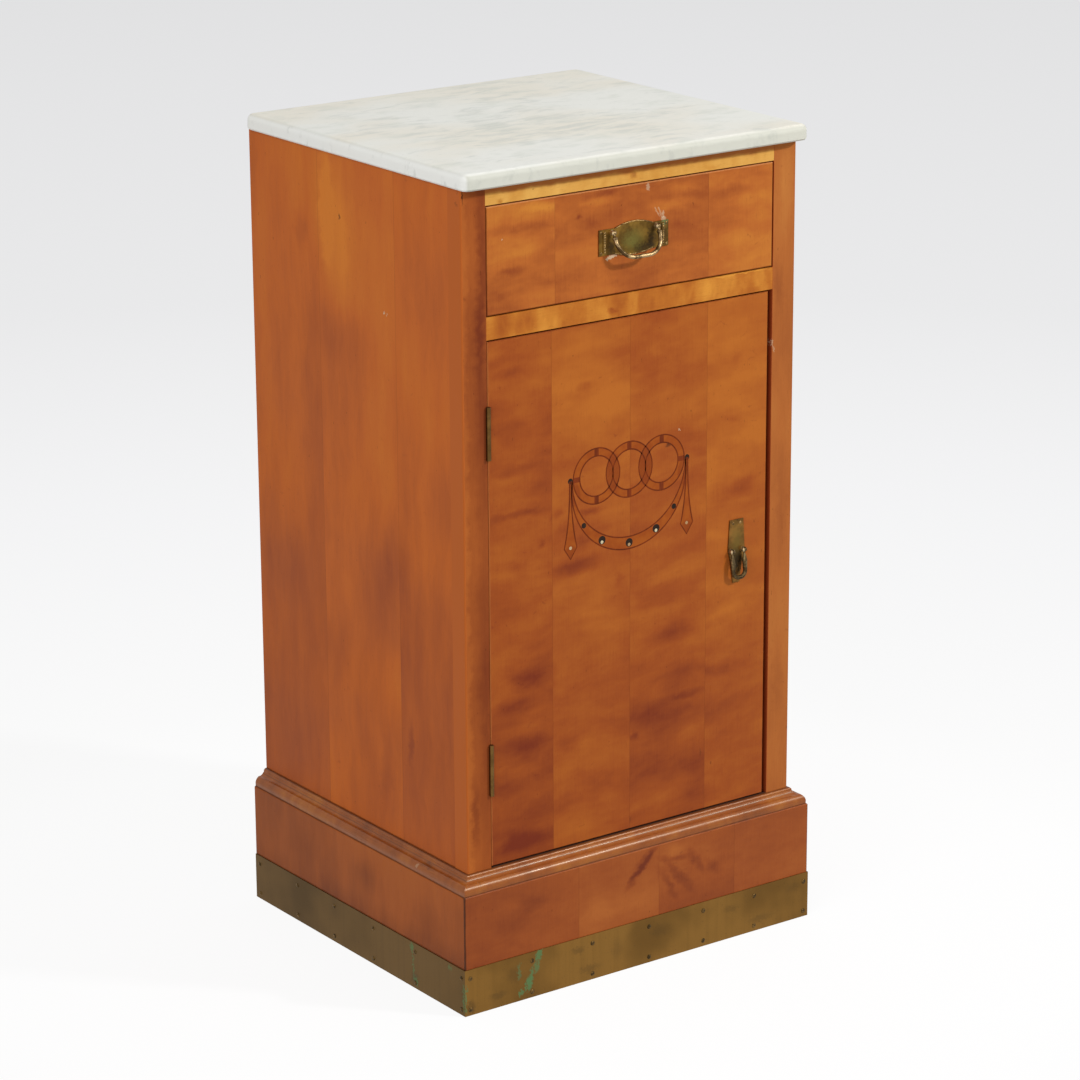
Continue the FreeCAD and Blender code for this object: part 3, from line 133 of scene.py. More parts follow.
class Bench:
    """A node tree that is put together one call at a time."""

    def __init__(self, tree: bpy.types.NodeTree) -> None:
        """Keep the tree."""
        self.tree = tree

    def node(self, kind: str, settings: dict | None = None, sockets: dict | None = None,
             out: int | str = 0) -> Wire:
        """Add a node, set it up and join its inputs.

        Args:
            kind: The node's type, as Blender names it.
            settings: Properties of the node, set before its sockets; "stops" fills a colour ramp.
            sockets: A value or a Wire for each input, by name or number.
            out: Which output to give back.

        Returns:
            The chosen output, or a Wire without a socket where the node has no outputs.
        """
        made = self.tree.nodes.new(kind)
        for name, setting in (settings or {}).items():
            if name == "stops":
                self._fill_ramp(made.color_ramp, setting)
            else:
                setattr(made, name, setting)
        for place, given in (sockets or {}).items():
            if isinstance(given, Wire):
                self.tree.links.new(given.socket, made.inputs[place])
            else:
                made.inputs[place].default_value = given
        return Wire(self, made.outputs[out] if len(made.outputs) else None)

    @staticmethod
    def _fill_ramp(ramp: bpy.types.ColorRamp, stops: Stops) -> None:
        """Give a colour ramp its stops.

        Args:
            ramp: The ramp of a new node.
            stops: The place, from 0 to 1, and the colour of each stop.
        """
        while len(ramp.elements) < len(stops):
            ramp.elements.new(0.5)
        for element, (place, colour) in zip(ramp.elements, stops):
            element.position = place
            element.color = paint(colour)

    def math(self, operation: str, first: Wire | float, second: Wire | float = 0.5) -> Wire:
        """Add a Math node; an operation on one number leaves the second unread."""
        return self.node("ShaderNodeMath", {"operation": operation}, {0: first, 1: second})

    def vector(self, operation: str, first: Wire | Number3, second: Wire | Number3 | None = None,
               scale: Wire | float | None = None, out: int | str = 0) -> Wire:
        """Add a Vector Math node.

        Args:
            operation: What it does.
            first: The first vector.
            second: The second vector, where the operation has one.
            scale: The number, for SCALE.
            out: Which output to give back.

        Returns:
            The result.
        """
        sockets: dict = {0: first}
        if second is not None:
            sockets[1] = second
        if scale is not None:
            sockets["Scale"] = scale
        return self.node("ShaderNodeVectorMath", {"operation": operation}, sockets, out)

    def join(self, x: Wire | float, y: Wire | float, z: Wire | float) -> Wire:
        """Make one vector of three numbers."""
        return self.node("ShaderNodeCombineXYZ", None, {0: x, 1: y, 2: z})

    def split(self, vector: Wire) -> tuple[Wire, Wire, Wire]:
        """Take a vector apart into its three numbers."""
        outputs = self.node("ShaderNodeSeparateXYZ", None, {0: vector}).socket.node.outputs
        return Wire(self, outputs[0]), Wire(self, outputs[1]), Wire(self, outputs[2])

    def ease(self, value: Wire, low: float, high: float, from_low: float = 0.0,
             to_high: float = 1.0) -> Wire:
        """Carry a value smoothly from between low and high to between from_low and to_high."""
        return self.node("ShaderNodeMapRange", {"interpolation_type": "SMOOTHSTEP"},
                         {0: value, 1: low, 2: high, 3: from_low, 4: to_high})


class Coat(Bench):
    """The nodes of one material."""

    def __init__(self, name: str) -> None:
        """Start a material whose tree holds only the place on the surface.

        Args:
            name: The material's name.
        """
        self.material = bpy.data.materials.new(name)
        self.material.use_nodes = True
        super().__init__(self.material.node_tree)
        self.tree.nodes.clear()
        self.place = self.node("ShaderNodeTexCoord", out="Object")

    def noise(self, place: Wire, stretch: Number3 | float, detail: float = 2.0,
              rough: float = 0.5, distortion: float = 0.0, out: int = 0) -> Wire:
        """Give noise of about 0.5 on a stretched pattern.

        Args:
            place: Where the surface is, in metres.
            stretch: Ripples to a metre along each axis, or one number for all three.
            detail: How many finer layers.
            rough: How strong they are.
            distortion: How much the pattern swirls.
            out: 0 for a number, 1 for a colour.

        Returns:
            The noise.
        """
        rates = (stretch,) * 3 if isinstance(stretch, float) else stretch
        scaled = self.vector("MULTIPLY", place, rates)
        return self.node("ShaderNodeTexNoise", None, {
            "Vector": scaled, "Scale": 1.0, "Detail": detail, "Roughness": rough,
            "Distortion": distortion}, out)

    def blend(self, share: Wire | float, first: Wire | tuple, second: Wire | tuple) -> Wire:
        """Mix two colours."""
        settings = {"data_type": "RGBA", "blend_type": "MIX", "clamp_factor": True}
        return self.node("ShaderNodeMix", settings, {0: share, 6: first, 7: second}, 2)

    def lay(self, colour: Wire, share: Wire | None, tint: Colour) -> Wire:
        """Lay a tint over a colour by a share; without a share, the colour stays as it is."""
        return colour if share is None else self.blend(share, colour, paint(tint))

    def bump(self, height: Wire, strength: float, distance: float) -> Wire:
        """Turn a height into a normal."""
        return self.node("ShaderNodeBump", None,
                         {"Strength": strength, "Distance": distance, "Height": height})

    def finish(self, **sockets: Wire | float | tuple) -> bpy.types.Material:
        """Close the material with a Principled shader.

        Args:
            sockets: Its inputs, with underscores for the spaces in their names.

        Returns:
            The finished material.
        """
        named = {name.replace("_", " "): given for name, given in sockets.items()}
        surface = self.node("ShaderNodeBsdfPrincipled", None, named)
        self.node("ShaderNodeOutputMaterial", None, {"Surface": surface})
        return self.material


class Jig(Bench):
    """A Geometry Nodes tree with named sizes, which makes one plain mesh at a time."""

    def __init__(self, name: str, sizes: dict[str, float]) -> None:
        """Start a tree that takes a mesh and some sizes.

        Args:
            name: The tree's name.
            sizes: The default of each named size.
        """
        super().__init__(bpy.data.node_groups.new(name, "GeometryNodeTree"))
        face = self.tree.interface
        face.new_socket("Mesh", in_out="INPUT", socket_type="NodeSocketGeometry")
        face.new_socket("Mesh", in_out="OUTPUT", socket_type="NodeSocketGeometry")
        self.sizes = {}
        for size, default in sizes.items():
            socket = face.new_socket(size, in_out="INPUT", socket_type="NodeSocketFloat")
            socket.default_value = default
            self.sizes[size] = socket.identifier
        self.inlet = self.tree.nodes.new("NodeGroupInput")
        self.mesh = Wire(self, self.inlet.outputs["Mesh"])

    def size(self, name: str) -> Wire:
        """Give one of the named sizes."""
        return Wire(self, self.inlet.outputs[name])

    def close(self, shape: Wire, material: bpy.types.Material) -> None:
        """End the tree: real meshes only, in one material.

        Args:
            shape: The geometry that the tree has made.
            material: What the piece is made of.
        """
        real = self.node("GeometryNodeRealizeInstances", None, {0: shape})
        made = self.node("GeometryNodeSetMaterial", None, {"Geometry": real, "Material": material})
        self.node("NodeGroupOutput", None, {0: made})

    def run(self, name: str, start: bpy.types.Mesh, sizes: dict[str, float],
            smooth: bool = True) -> bpy.types.Object:
        """Put a mesh through the tree.

        Args:
            name: The name of the piece.
            start: The mesh that the tree takes.
            sizes: The named sizes that differ from their defaults.
            smooth: Whether the piece is shaded smooth.

        Returns:
            A new object with a plain mesh.
        """
        worker = bpy.data.objects.new(name + "_worker", start)
        bpy.context.scene.collection.objects.link(worker)
        modifier = worker.modifiers.new("Jig", "NODES")
        modifier.node_group = self.tree
        for size, wanted in sizes.items():
            modifier[self.sizes[size]] = wanted
        seen = worker.evaluated_get(bpy.context.evaluated_depsgraph_get())
        mesh = bpy.data.meshes.new_from_object(seen)
        bpy.data.objects.remove(worker)
        mesh.name = name
        for polygon in mesh.polygons:
            polygon.use_smooth = smooth
        piece = bpy.data.objects.new(name, mesh)
        bpy.context.scene.collection.objects.link(piece)
        return piece


# ------------------------------------------------------------------ finishes


class Across(Enum):
    """Which axis runs across the width of a face."""

    X = 0
    Y = 1


class Grain(Enum):
    """Which way the grain of a board runs, and a line on its face."""

    UPRIGHT = "up the face"
    LYING = "along the face"


@dataclass(frozen=True)
class Ripple:
    """A pattern in the wood: ripples to a metre with and over the grain, and its noise."""

    with_grain: float
    over_grain: float
    detail: float = 2.0
    rough: float = 0.5
    distortion: float = 0.0


class Figure(Enum):
    """The figure of the wood: its coarse pattern, then its fine one."""

    FLAME = (Ripple(36.0, 14.0, 4.0, 0.52), Ripple(84.0, 46.0, 4.0, 0.6))
    STREAK = (Ripple(5.0, 26.0, 4.0, 0.52), Ripple(16.0, 62.0, 4.0, 0.6))


# Patterns that every veneer has.
FIBRE = Ripple(26.0, 560.0, rough=0.6, distortion=1.2)
BROAD = Ripple(8.0, 5.0, detail=1.0, rough=0.4)
PORES = Ripple(150.0, 1500.0, detail=1.0)
SPECKS = Ripple(170.0, 420.0)
# How far each pattern moves the tone where a finish asks for all of it.
FLAME_SWING, MOTTLE_SWING, BROAD_SWING, FIBRE_SWING = 1.6, 1.15, 1.1, 0.34
# How far clouds darken the tone and lights raise it.
CLOUD_SWING, LIGHT_SWING = 0.55, 0.6


@dataclass(frozen=True)
class Patch:
    """A soft mark on a face, in millimetres: its middle, half sizes, depth of tone and lean."""

    across: float
    up: float
    half_across: float
    half_up: float
    depth: float
    lean: float = 0.0


@dataclass(frozen=True)
class Line:
    """A thin soft line on a face, in millimetres: its way, place, half width, colour, share."""

    way: Grain
    at: float
    half: float
    colour: Colour
    share: float


def patch_mask(coat: Coat, across: Wire, up: Wire, patches: tuple[Patch, ...], inner: float,
               outer: float) -> Wire | None:
    """Add up soft ellipses on a face.

    Args:
        coat: The material being made.
        across: The place across the face, in metres.
        up: The place up the face, in metres.
        patches: The ellipses.
        inner: Share of the radius up to which a mark is full.
        outer: Share at which it has gone.

    Returns:
        The sum of their depths, or None where there are none.
    """
    flat = coat.join(across, up, 0.0)
    total = None
    for patch in patches:
        off = coat.vector("SUBTRACT", flat, (patch.across * MM, patch.up * MM, 0.0))
        if patch.lean:
            off = coat.node("ShaderNodeVectorRotate", {"rotation_type": "Z_AXIS"},
                            {"Vector": off, "Angle": math.radians(-patch.lean)})
        off = coat.vector("MULTIPLY", off, (1000 / patch.half_across, 1000 / patch.half_up, 0.0))
        far = coat.vector("LENGTH", off, out="Value")
        mark = coat.ease(far, inner, outer, patch.depth, 0.0)
        total = mark if total is None else total + mark
    return total


@dataclass(frozen=True)
class Face:
    """The wires of one veneered face, which its colour, gloss and relief share.

    Across, up and depth are the plain place in metres, place is moved for the leaf, and the torn
    pair wavers, so that marks laid by it have ragged edges.
    """

    coat: Coat
    across: Wire
    up: Wire
    depth: Wire
    place: Wire
    fibre: Wire
    flame: Wire
    broad: Wire
    mottle: Wire
    torn_across: Wire
    torn_up: Wire


@dataclass(frozen=True)
class Veneer:
    """Flamed birch under an old polish, laid in leaves.

    The tone runs from 0, the deepest red-brown, to 1, the palest gold. Places are in millimetres,
    but for the foot, which is in metres.
    """

    name: str
    across: Across = Across.X
    grain: Grain = Grain.UPRIGHT
    figure: Figure = Figure.FLAME
    deep: Colour = (126, 50, 22)
    middle: Colour = (162, 79, 25)
    gold: Colour = (190, 108, 34)
    tone: float = 0.5
    flame: float = 1.0
    broad: float = 0.8
    mottle: float = 0.8
    fine: float = 0.5
    flame_size: float = 1.0
    slope: float = 0.0
    polish: float = 0.15
    matt: float = 0.40
    lines: tuple[Line, ...] = ()
    joints: tuple[float, ...] = ()
    leaf_tones: tuple[float, ...] = ()
    clouds: tuple[Patch, ...] = ()
    lights: tuple[Patch, ...] = ()
    chips: tuple[Patch, ...] = ()
    stains: tuple[Patch, ...] = ()
    foot_from: float = 0.0
    foot_to: float = 0.0
    foot_tone: float = 0.0
    # Arrises that take painted shade of the gaps: left, right, foot and head, in millimetres.
    edges: tuple[float, float, float, float] | None = None
    seed: float = 0.0
    seam_tint: Colour = (88, 38, 14)
    pore_tint: Colour = (92, 40, 14)
    speck_tint: Colour = (84, 38, 16)
    gap_shade_tint: Colour = (96, 38, 12)
    stain_tint: Colour = (70, 36, 22)
    bare_wood: Colour = (206, 178, 146)
    polish_tint: Colour = (255, 240, 216)
    front_faces: float = -158.0
    side_faces: float = -186.0

    def make(self) -> bpy.types.Material:
        """Build the material.

        Returns:
            The finished veneer.
        """
        coat = Coat(self.name)
        parts = coat.split(coat.place)
        place, tone, seam = self._leaves(coat, parts[self.across.value])
        face = self._face(coat, place, parts)
        colour = self._colour(face, self._tone(face, tone), seam)
        stain = patch_mask(coat, face.torn_across, face.torn_up, self.stains, 0.3, 1.2)
        colour = coat.lay(colour, self._outside(face, stain), self.stain_tint)
        ragged = coat.noise(face.place, 520.0, 2.0, 0.6)
        fray = (ragged - 0.5) * 0.006
        chip = patch_mask(coat, face.across + fray, face.up - fray, self.chips, 0.72, 0.95)
        chip = self._outside(face, chip)
        colour = coat.lay(colour, chip, self.bare_wood)
        rough = (face.fibre - 0.5) * 0.25 + (face.broad - 0.5) * 0.3 + self.matt
        height = face.fibre * 0.3 + face.flame * 0.4
        if chip is not None:
            rough = chip * 0.35 + rough
            height = height - chip * 3.0
        return coat.finish(Base_Color=colour, Roughness=rough, Specular_IOR_Level=self.polish,
                           Specular_Tint=paint(self.polish_tint),
                           Normal=coat.bump(height, 0.12, 0.0005))

    def _leaves(self, coat: Coat, across: Wire) -> tuple[Wire, Wire | float, Wire | None]:
        """Lay the leaves side by side, each with a pattern and a tone of its own.

        Args:
            coat: The material being made.
            across: The place across the face.

        Returns:
            The place on the leaf, its tone, and the share of the dark seams, if there are any.
        """
        place = coat.vector("ADD", coat.place, (self.seed, self.seed * 0.7, self.seed * 1.3))
        tone: Wire | float = self.tone
        leaf = seam = None
        tones = self.leaf_tones or (0.0,) * (len(self.joints) + 1)
        for joint, before, after in zip(self.joints, tones, tones[1:]):
            past = across > joint * MM
            tone = past * (after - before) + tone
            leaf = past if leaf is None else leaf + past
            line = coat.ease(coat.math("ABSOLUTE", across - joint * MM), 0.00012, 0.0006, 1.0, 0.0)
            seam = line if seam is None else seam + line
        if leaf is None:
            return place, tone, None
        shift = coat.join(leaf * 0.31, leaf * 0.17, leaf * 0.53)
        return coat.vector("ADD", place, shift), tone, seam * 0.22

    def _ripple(self, coat: Coat, place: Wire, ripple: Ripple, size: float = 1.0) -> Wire:
        """Lay one pattern along the grain.

        Args:
            coat: The material being made.
            place: Where the surface is, in metres.
            ripple: The pattern.
            size: How many times its plain size it has.

        Returns:
            The pattern, of about 0.5.
        """
        rates = [ripple.over_grain / size] * 3
        rates[self.across.value if self.grain is Grain.LYING else 2] = ripple.with_grain / size
        return coat.noise(place, (rates[0], rates[1], rates[2]), ripple.detail, ripple.rough,
                          ripple.distortion)

    def _face(self, coat: Coat, place: Wire, parts: tuple[Wire, Wire, Wire]) -> Face:
        """Lay the patterns of the wood.

        Args:
            coat: The material being made.
            place: The place on the leaf.
            parts: The three numbers of the plain place.

        Returns:
            The face's wires.
        """
        across, up = parts[self.across.value], parts[2]
        swirl = coat.vector("SUBTRACT", coat.noise(place, (11.0, 11.0, 14.0), out=1), HALF)
        fibre = self._ripple(coat, place, FIBRE)
        if self.slope:
            place = coat.vector("ADD", place, coat.join(0.0, 0.0, across * -self.slope))
        frayed = (fibre - 0.5) * 0.003
        pulled = coat.vector("ADD", coat.vector("SCALE", swirl, scale=0.024),
                             coat.join(frayed, frayed, frayed))
        bent = coat.vector("ADD", place, pulled)
        coarse, fine = self.figure.value
        torn = coat.noise(place, (62.0, 62.0, 90.0), 3.0, 0.62, out=1)
        torn = coat.vector("SCALE", coat.vector("SUBTRACT", torn, HALF), scale=0.016)
        drift = coat.vector("ADD", coat.vector("SCALE", swirl, scale=0.012), torn)
        drift_x, _, drift_z = coat.split(drift)
        return Face(coat, across, up, depth=parts[1 - self.across.value], place=place,
                    fibre=fibre, flame=self._ripple(coat, bent, coarse, self.flame_size),
                    broad=self._ripple(coat, bent, BROAD), mottle=self._ripple(coat, bent, fine),
                    torn_across=across + drift_x + frayed * 0.3,
                    torn_up=up + drift_z * 0.6 + frayed * 0.6)

    def _tone(self, face: Face, tone: Wire | float) -> Wire:
        """Work out the tone.

        Args:
            face: The face's wires.
            tone: The tone of the leaf.

        Returns:
            The tone with its figure, its darker foot, its clouds and its lights.
        """
        for pattern, swing in ((face.flame, FLAME_SWING * self.flame),
                               (face.mottle, MOTTLE_SWING * self.mottle),
                               (face.broad, BROAD_SWING * self.broad),
                               (face.fibre, FIBRE_SWING * self.fine)):
            tone = (pattern - 0.5) * swing + tone
        coat = face.coat
        if self.foot_tone:
            tone = coat.ease(face.up, self.foot_from, self.foot_to, self.foot_tone, 0.0) + tone
        dark = patch_mask(coat, face.torn_across, face.torn_up, self.clouds, 0.1, 1.4)
        if dark is not None:
            tone = tone - dark * CLOUD_SWING
        light = patch_mask(coat, face.torn_across, face.torn_up, self.lights, 0.1, 1.3)
        if light is not None:
            tone = tone + light * LIGHT_SWING
        return tone

    def _colour(self, face: Face, tone: Wire, seam: Wire | None) -> Wire:
        """Turn the tone into colour and lay the small marks over it.

        Args:
            face: The face's wires.
            tone: The tone.
            seam: The share of the dark seams, if there are any.

        Returns:
            The colour with pores, specks, dents, seams, painted gap shade at the arrises, and
            lines.
        """
        coat = face.coat
        stops = ((0.0, self.deep), (0.5, self.middle), (1.0, self.gold))
        colour = coat.node("ShaderNodeValToRGB", {"stops": stops}, {0: tone})
        pores = coat.ease(self._ripple(coat, face.place, PORES), 0.64, 0.78, 0.0, 0.16)
        colour = coat.lay(colour, pores, self.pore_tint)
        specks = coat.ease(self._ripple(coat, face.place, SPECKS), 0.73, 0.79, 0.0, 0.55)
        colour = coat.lay(colour, specks, self.speck_tint)
        dents = coat.noise(face.place, (90.0, 90.0, 130.0), 3.0, 0.6, 0.6)
        worn = coat.ease(face.broad, 0.45, 0.6, 0.1, 0.35)
        colour = coat.lay(colour, coat.ease(dents, 0.66, 0.74) * worn, self.deep)
        colour = coat.lay(colour, seam, self.seam_tint)
        # Painted shade of the gaps along the arrises.
        colour = coat.lay(colour, self._rim(face), self.gap_shade_tint)
        for line in self.lines:
            colour = coat.lay(colour, self._line(face, line), line.colour)
        return colour

    def _outside(self, face: Face, marks: Wire | None) -> Wire | None:
        """Keep marks off the faces that look inwards.

        Args:
            face: The face's wires.
            marks: The marks, if there are any.

        Returns:
            The marks on the outer faces alone.
        """
        if marks is None:
            return None
        outer = (self.front_faces if self.across is Across.X else self.side_faces) * MM
        return marks * face.coat.ease(face.depth, outer, outer + MM, 1.0, 0.0)

    @staticmethod
    def _line(face: Face, line: Line) -> Wire:
        """Give the share of a line, which wavers a little.

        Args:
            face: The face's wires.
            line: The line.

        Returns:
            Its share at each place.
        """
        coat, wide = face.coat, line.half * MM
        off = (face.across if line.way is Grain.UPRIGHT else face.up) - line.at * MM
        worn = coat.noise(coat.place, 48.0, 2.0, 0.6)
        return coat.ease((worn - 0.5) * wide + coat.math("ABSOLUTE", off), wide * 0.35, wide,
                         line.share, 0.0)

    def _rim(self, face: Face) -> Wire | None:
        """Darken the arrises of a panel beside its gaps: painted shade of the gaps.

        Args:
            face: The face's wires.

        Returns:
            The share of dark, or None where the panel has no edges to darken.
        """
        if self.edges is None:
            return None
        coat = face.coat
        left, right, foot, head = (edge * MM for edge in self.edges)
        near = coat.math("MINIMUM", face.across - left, right - face.across)
        near = coat.math("MINIMUM", near, face.up - foot)
        near = coat.math("MINIMUM", near, head - face.up)
        worn = coat.noise(coat.place, 60.0, 2.0, 0.6)
        return coat.ease(near + (worn - 0.5) * 0.0012, 0.0002, 0.0010, 0.55, 0.0)


@dataclass(frozen=True)
class Softwood:
    """Plain pine of the hidden parts, planed and gone yellow, its front stained in places."""

    name: str
    pale: Colour = (208, 170, 122)
    ring: Colour = (182, 134, 84)
    grime: Colour = (120, 88, 58)
    stain: Colour = (78, 42, 22)
    lies_along: Across | None = None
    stained_to: float | None = None
    over_grain: float = 38.0
    with_grain: float = 1.3
    fibre_finer: float = 12.0

    def make(self) -> bpy.types.Material:
        """Build the material.

        Returns:
            The finished pine.
        """
        coat = Coat(self.name)
        stretch = [self.over_grain] * 3
        stretch[2 if self.lies_along is None else self.lies_along.value] = self.with_grain
        sway = coat.noise(coat.place, 5.0, 1.0, out=1)
        bent = coat.vector("ADD", coat.place, coat.vector("SCALE", sway, scale=0.02))
        rings = coat.noise(bent, (stretch[0], stretch[1], stretch[2]), 1.0, 0.4)
        bands = coat.math("PINGPONG", rings * 5.0, 0.5)
        fibre = coat.noise(coat.place, tuple(self.fibre_finer * s for s in stretch), 2.0, 0.6)
        share = coat.ease(bands, 0.0, 0.55) * 0.55 + (fibre - 0.5) * 0.6
        colour = coat.blend(share, paint(self.pale), paint(self.ring))
        dirt = coat.noise(coat.place, 7.0, 3.0, 0.6)
        colour = coat.lay(colour, coat.ease(dirt, 0.5, 0.8, 0.0, 0.4), self.grime)
        if self.stained_to is not None:
            edge = self.stained_to * MM
            _, y, _ = coat.split(coat.place)
            colour = coat.lay(colour, coat.ease(y, edge - MM, edge + MM, 1.0, 0.0), self.stain)
        return coat.finish(Base_Color=colour, Roughness=(fibre - 0.5) * 0.2 + 0.72,
                           Normal=coat.bump(fibre + bands, 0.2, 0.0004))


@dataclass(frozen=True)
class Marble:
    """White marble, honed, with soft grey streaks that gather at the middle and a warm cast; its
    edges carry painted shade in front and painted light on the left.
    """

    name: str = "marble"
    white: Colour = (245, 245, 238)
    warm: Colour = (244, 239, 225)
    grey: Colour = (207, 210, 202)
    smoke: Colour = (220, 223, 212)
    fleck: Colour = (200, 202, 192)
    # Edge colours: painted shade on the front edge, painted light on the left edge.
    rim: Colour = (208, 208, 195)
    left_rim: Colour = (252, 252, 247)
    rim_grime: Colour = (178, 180, 172)

    def make(self) -> bpy.types.Material:
        """Build the material.

        Returns:
            The finished marble.
        """
        coat = Coat(self.name)
        x, y, z = coat.split(coat.place)
        swirl = coat.vector("SUBTRACT", coat.noise(coat.place, 13.0, 2.5, 0.55, out=1), HALF)
        bent = coat.vector("ADD", coat.place, coat.vector("SCALE", swirl, scale=0.035))
        broad = coat.noise(bent, (5.0, 9.0, 6.0), 2.0, 0.5)
        warmth = coat.ease(broad, 0.40, 0.66, 0.0, 0.9)
        colour = coat.blend(warmth, paint(self.white), paint(self.warm))
        vein = coat.noise(bent, (26.0, 84.0, 40.0), 4.0, 0.62)
        field = coat.noise(bent, (6.5, 8.0, 6.0), 1.0, 0.4)
        middle = coat.vector("MULTIPLY", coat.join(x + 0.01, y, 0.0), (5.6, 6.6, 0.0))
        gathered = coat.ease(coat.vector("LENGTH", middle, out="Value"), 0.2, 1.5, 0.06, -0.03)
        streak = coat.ease(vein + gathered + (field - 0.5) * 0.35, 0.50, 0.76, 0.0, 0.55)
        colour = coat.lay(colour, streak, self.grey)
        smoke = coat.noise(bent, (24.0, 42.0, 40.0), 3.0, 0.6)
        colour = coat.lay(colour, coat.ease(smoke, 0.48, 0.72, 0.0, 0.42), self.smoke)
        fleck = coat.noise(coat.place, 150.0, 3.0, 0.6)
        colour = coat.lay(colour, coat.ease(fleck, 0.56, 0.78, 0.0, 0.22), self.fleck)
        # The edge band is painted: darker on the front edge as painted shade, lighter on the left
        # edge as painted light.
        rim = coat.ease(z, 0.7915, 0.7939, 1.0, 0.0)
        spots = coat.noise(coat.place, (85.0, 85.0, 60.0), 3.0, 0.6)
        leftmost = coat.ease(x, -0.1935, -0.1905, 1.0, 0.0)
        edge = coat.blend(leftmost, paint(self.rim), paint(self.left_rim))
        colour = coat.blend(rim * 0.85, colour, edge)
        grime = rim * coat.ease(spots, 0.54, 0.72, 0.0, 0.3)
        colour = coat.lay(colour, grime, self.rim_grime)
        return coat.finish(Base_Color=colour, Roughness=(spots - 0.5) * 0.2 + 0.5,
                           Specular_IOR_Level=0.12, Normal=coat.bump(fleck, 0.05, 0.0004))


@dataclass(frozen=True)
class Brass:
    """Old brass: clean metal where hands rub it, brown tarnish elsewhere, verdigris in places."""

    name: str
    clean: Colour = (168, 132, 74)
    tarnish: Colour = (104, 80, 42)
    share: float = 0.5
    rough: float = 0.38
    grain: float = 90.0
    across: Across = Across.X
    green: tuple[Patch, ...] = ()
    dark: tuple[Patch, ...] = ()
    cast: Colour = (112, 104, 46)
    cast_at: tuple[Patch, ...] = ()
    streaks: bool = False
    pit_tint: Colour = (52, 38, 22)
    smudge_and_shade_tint: Colour = (58, 48, 34)
    verdigris: Colour = (90, 123, 72)

    def make(self) -> bpy.types.Material:
        """Build the material.

        Returns:
            The finished brass.
        """
        coat = Coat(self.name)
        parts = coat.split(coat.place)
        across, up = parts[self.across.value], parts[2]
        cloud = coat.noise(coat.place, self.grain, 3.0, 0.6)
        low, high = 0.62 - self.share * 0.5, 0.86 - self.share * 0.5
        colour = coat.blend(coat.ease(cloud, low, high), paint(self.clean), paint(self.tarnish))
        if self.streaks:
            streak = coat.noise(coat.place, (190.0, 190.0, 5.0), 2.0, 0.6)
            colour = coat.lay(colour, coat.ease(streak, 0.42, 0.8, 0.0, 0.3), self.tarnish)
        ragged = (coat.noise(coat.place, 430.0, 2.0, 0.6) - 0.5) * 0.011
        cast = patch_mask(coat, across + ragged, up - ragged, self.cast_at, 0.1, 1.3)
        colour = coat.lay(colour, cast, self.cast)
        pits = coat.noise(coat.place, 900.0, 1.0, 0.5)
        spots = coat.ease(pits, 0.68, 0.78, 0.0, 0.5)
        colour = coat.lay(colour, spots, self.pit_tint)
        rough = (cloud - 0.5) * 0.3 + self.rough + spots * 0.2
        metal = 1.0 - spots * 0.4
        # Dark patches: tarnish smudges on the band, and painted shade and shadow on the pulls and
        # the door's bail.
        smudge_and_shade = patch_mask(coat, across + ragged, up - ragged, self.dark, 0.2, 1.2)
        colour = coat.lay(colour, smudge_and_shade, self.smudge_and_shade_tint)
        crust = patch_mask(coat, across + ragged, up + ragged, self.green, 0.55, 1.0)
        colour = coat.lay(colour, crust, self.verdigris)
        height = cloud * 0.5 + pits * 0.3
        if crust is not None:
            metal = metal * (1.0 - crust)
            rough = crust * 0.4 + rough
            height = height + crust
        return coat.finish(Base_Color=colour, Metallic=metal, Roughness=rough,
                           Normal=coat.bump(height, 0.12, 0.0004))


@dataclass(frozen=True)
class Inlay:
    """A thin slip of stained wood let into the door, darker where one ring crosses another."""

    name: str
    ground: Colour
    shade: Colour
    stretch: Number3 = (320.0, 320.0, 40.0)
    rough: float = 0.42
    dark: tuple[Patch, ...] = ()
    dark_tint: Colour = (128, 52, 19)

    def make(self) -> bpy.types.Material:
        """Build the material.

        Returns:
            The finished wood.
        """
        coat = Coat(self.name)
        fibre = coat.noise(coat.place, self.stretch, 2.0, 0.6)
        broad = coat.noise(coat.place, (30.0, 30.0, 60.0), 2.0, 0.5)
        share = coat.ease(fibre * 0.5 + broad * 0.5, 0.36, 0.64)
        colour = coat.blend(share, paint(self.ground), paint(self.shade))
        x, _, z = coat.split(coat.place)
        colour = coat.lay(colour, patch_mask(coat, x, z, self.dark, 0.7, 1.1), self.dark_tint)
        return coat.finish(Base_Color=colour, Roughness=(fibre - 0.5) * 0.2 + self.rough,
                           Specular_IOR_Level=0.1, Normal=coat.bump(fibre, 0.08, 0.0003))


@dataclass(frozen=True)
class Pearl:
    """Mother of pearl: pale, cloudy and a little lively, yellowed under polish in places."""

    name: str = "pearl"
    cloudy: Stops = (
        (0.3, (160, 140, 102)), (0.5, (222, 206, 168)), (0.7, (200, 194, 166)))
    yellow: Colour = (166, 118, 66)
    yellowed: tuple[Patch, ...] = ()

    def make(self) -> bpy.types.Material:
        """Build the material.

        Returns:
            The finished pearl.
        """
        coat = Coat(self.name)
        cloud = coat.noise(coat.place, 420.0)
        colour = coat.node("ShaderNodeValToRGB", {"stops": self.cloudy}, {0: cloud})
        x, _, z = coat.split(coat.place)
        colour = coat.lay(colour, patch_mask(coat, x, z, self.yellowed, 0.9, 1.1), self.yellow)
        return coat.finish(Base_Color=colour, Roughness=(cloud - 0.5) * 0.2 + 0.32,
                           Specular_IOR_Level=0.3, Normal=coat.bump(cloud, 0.1, 0.0002))


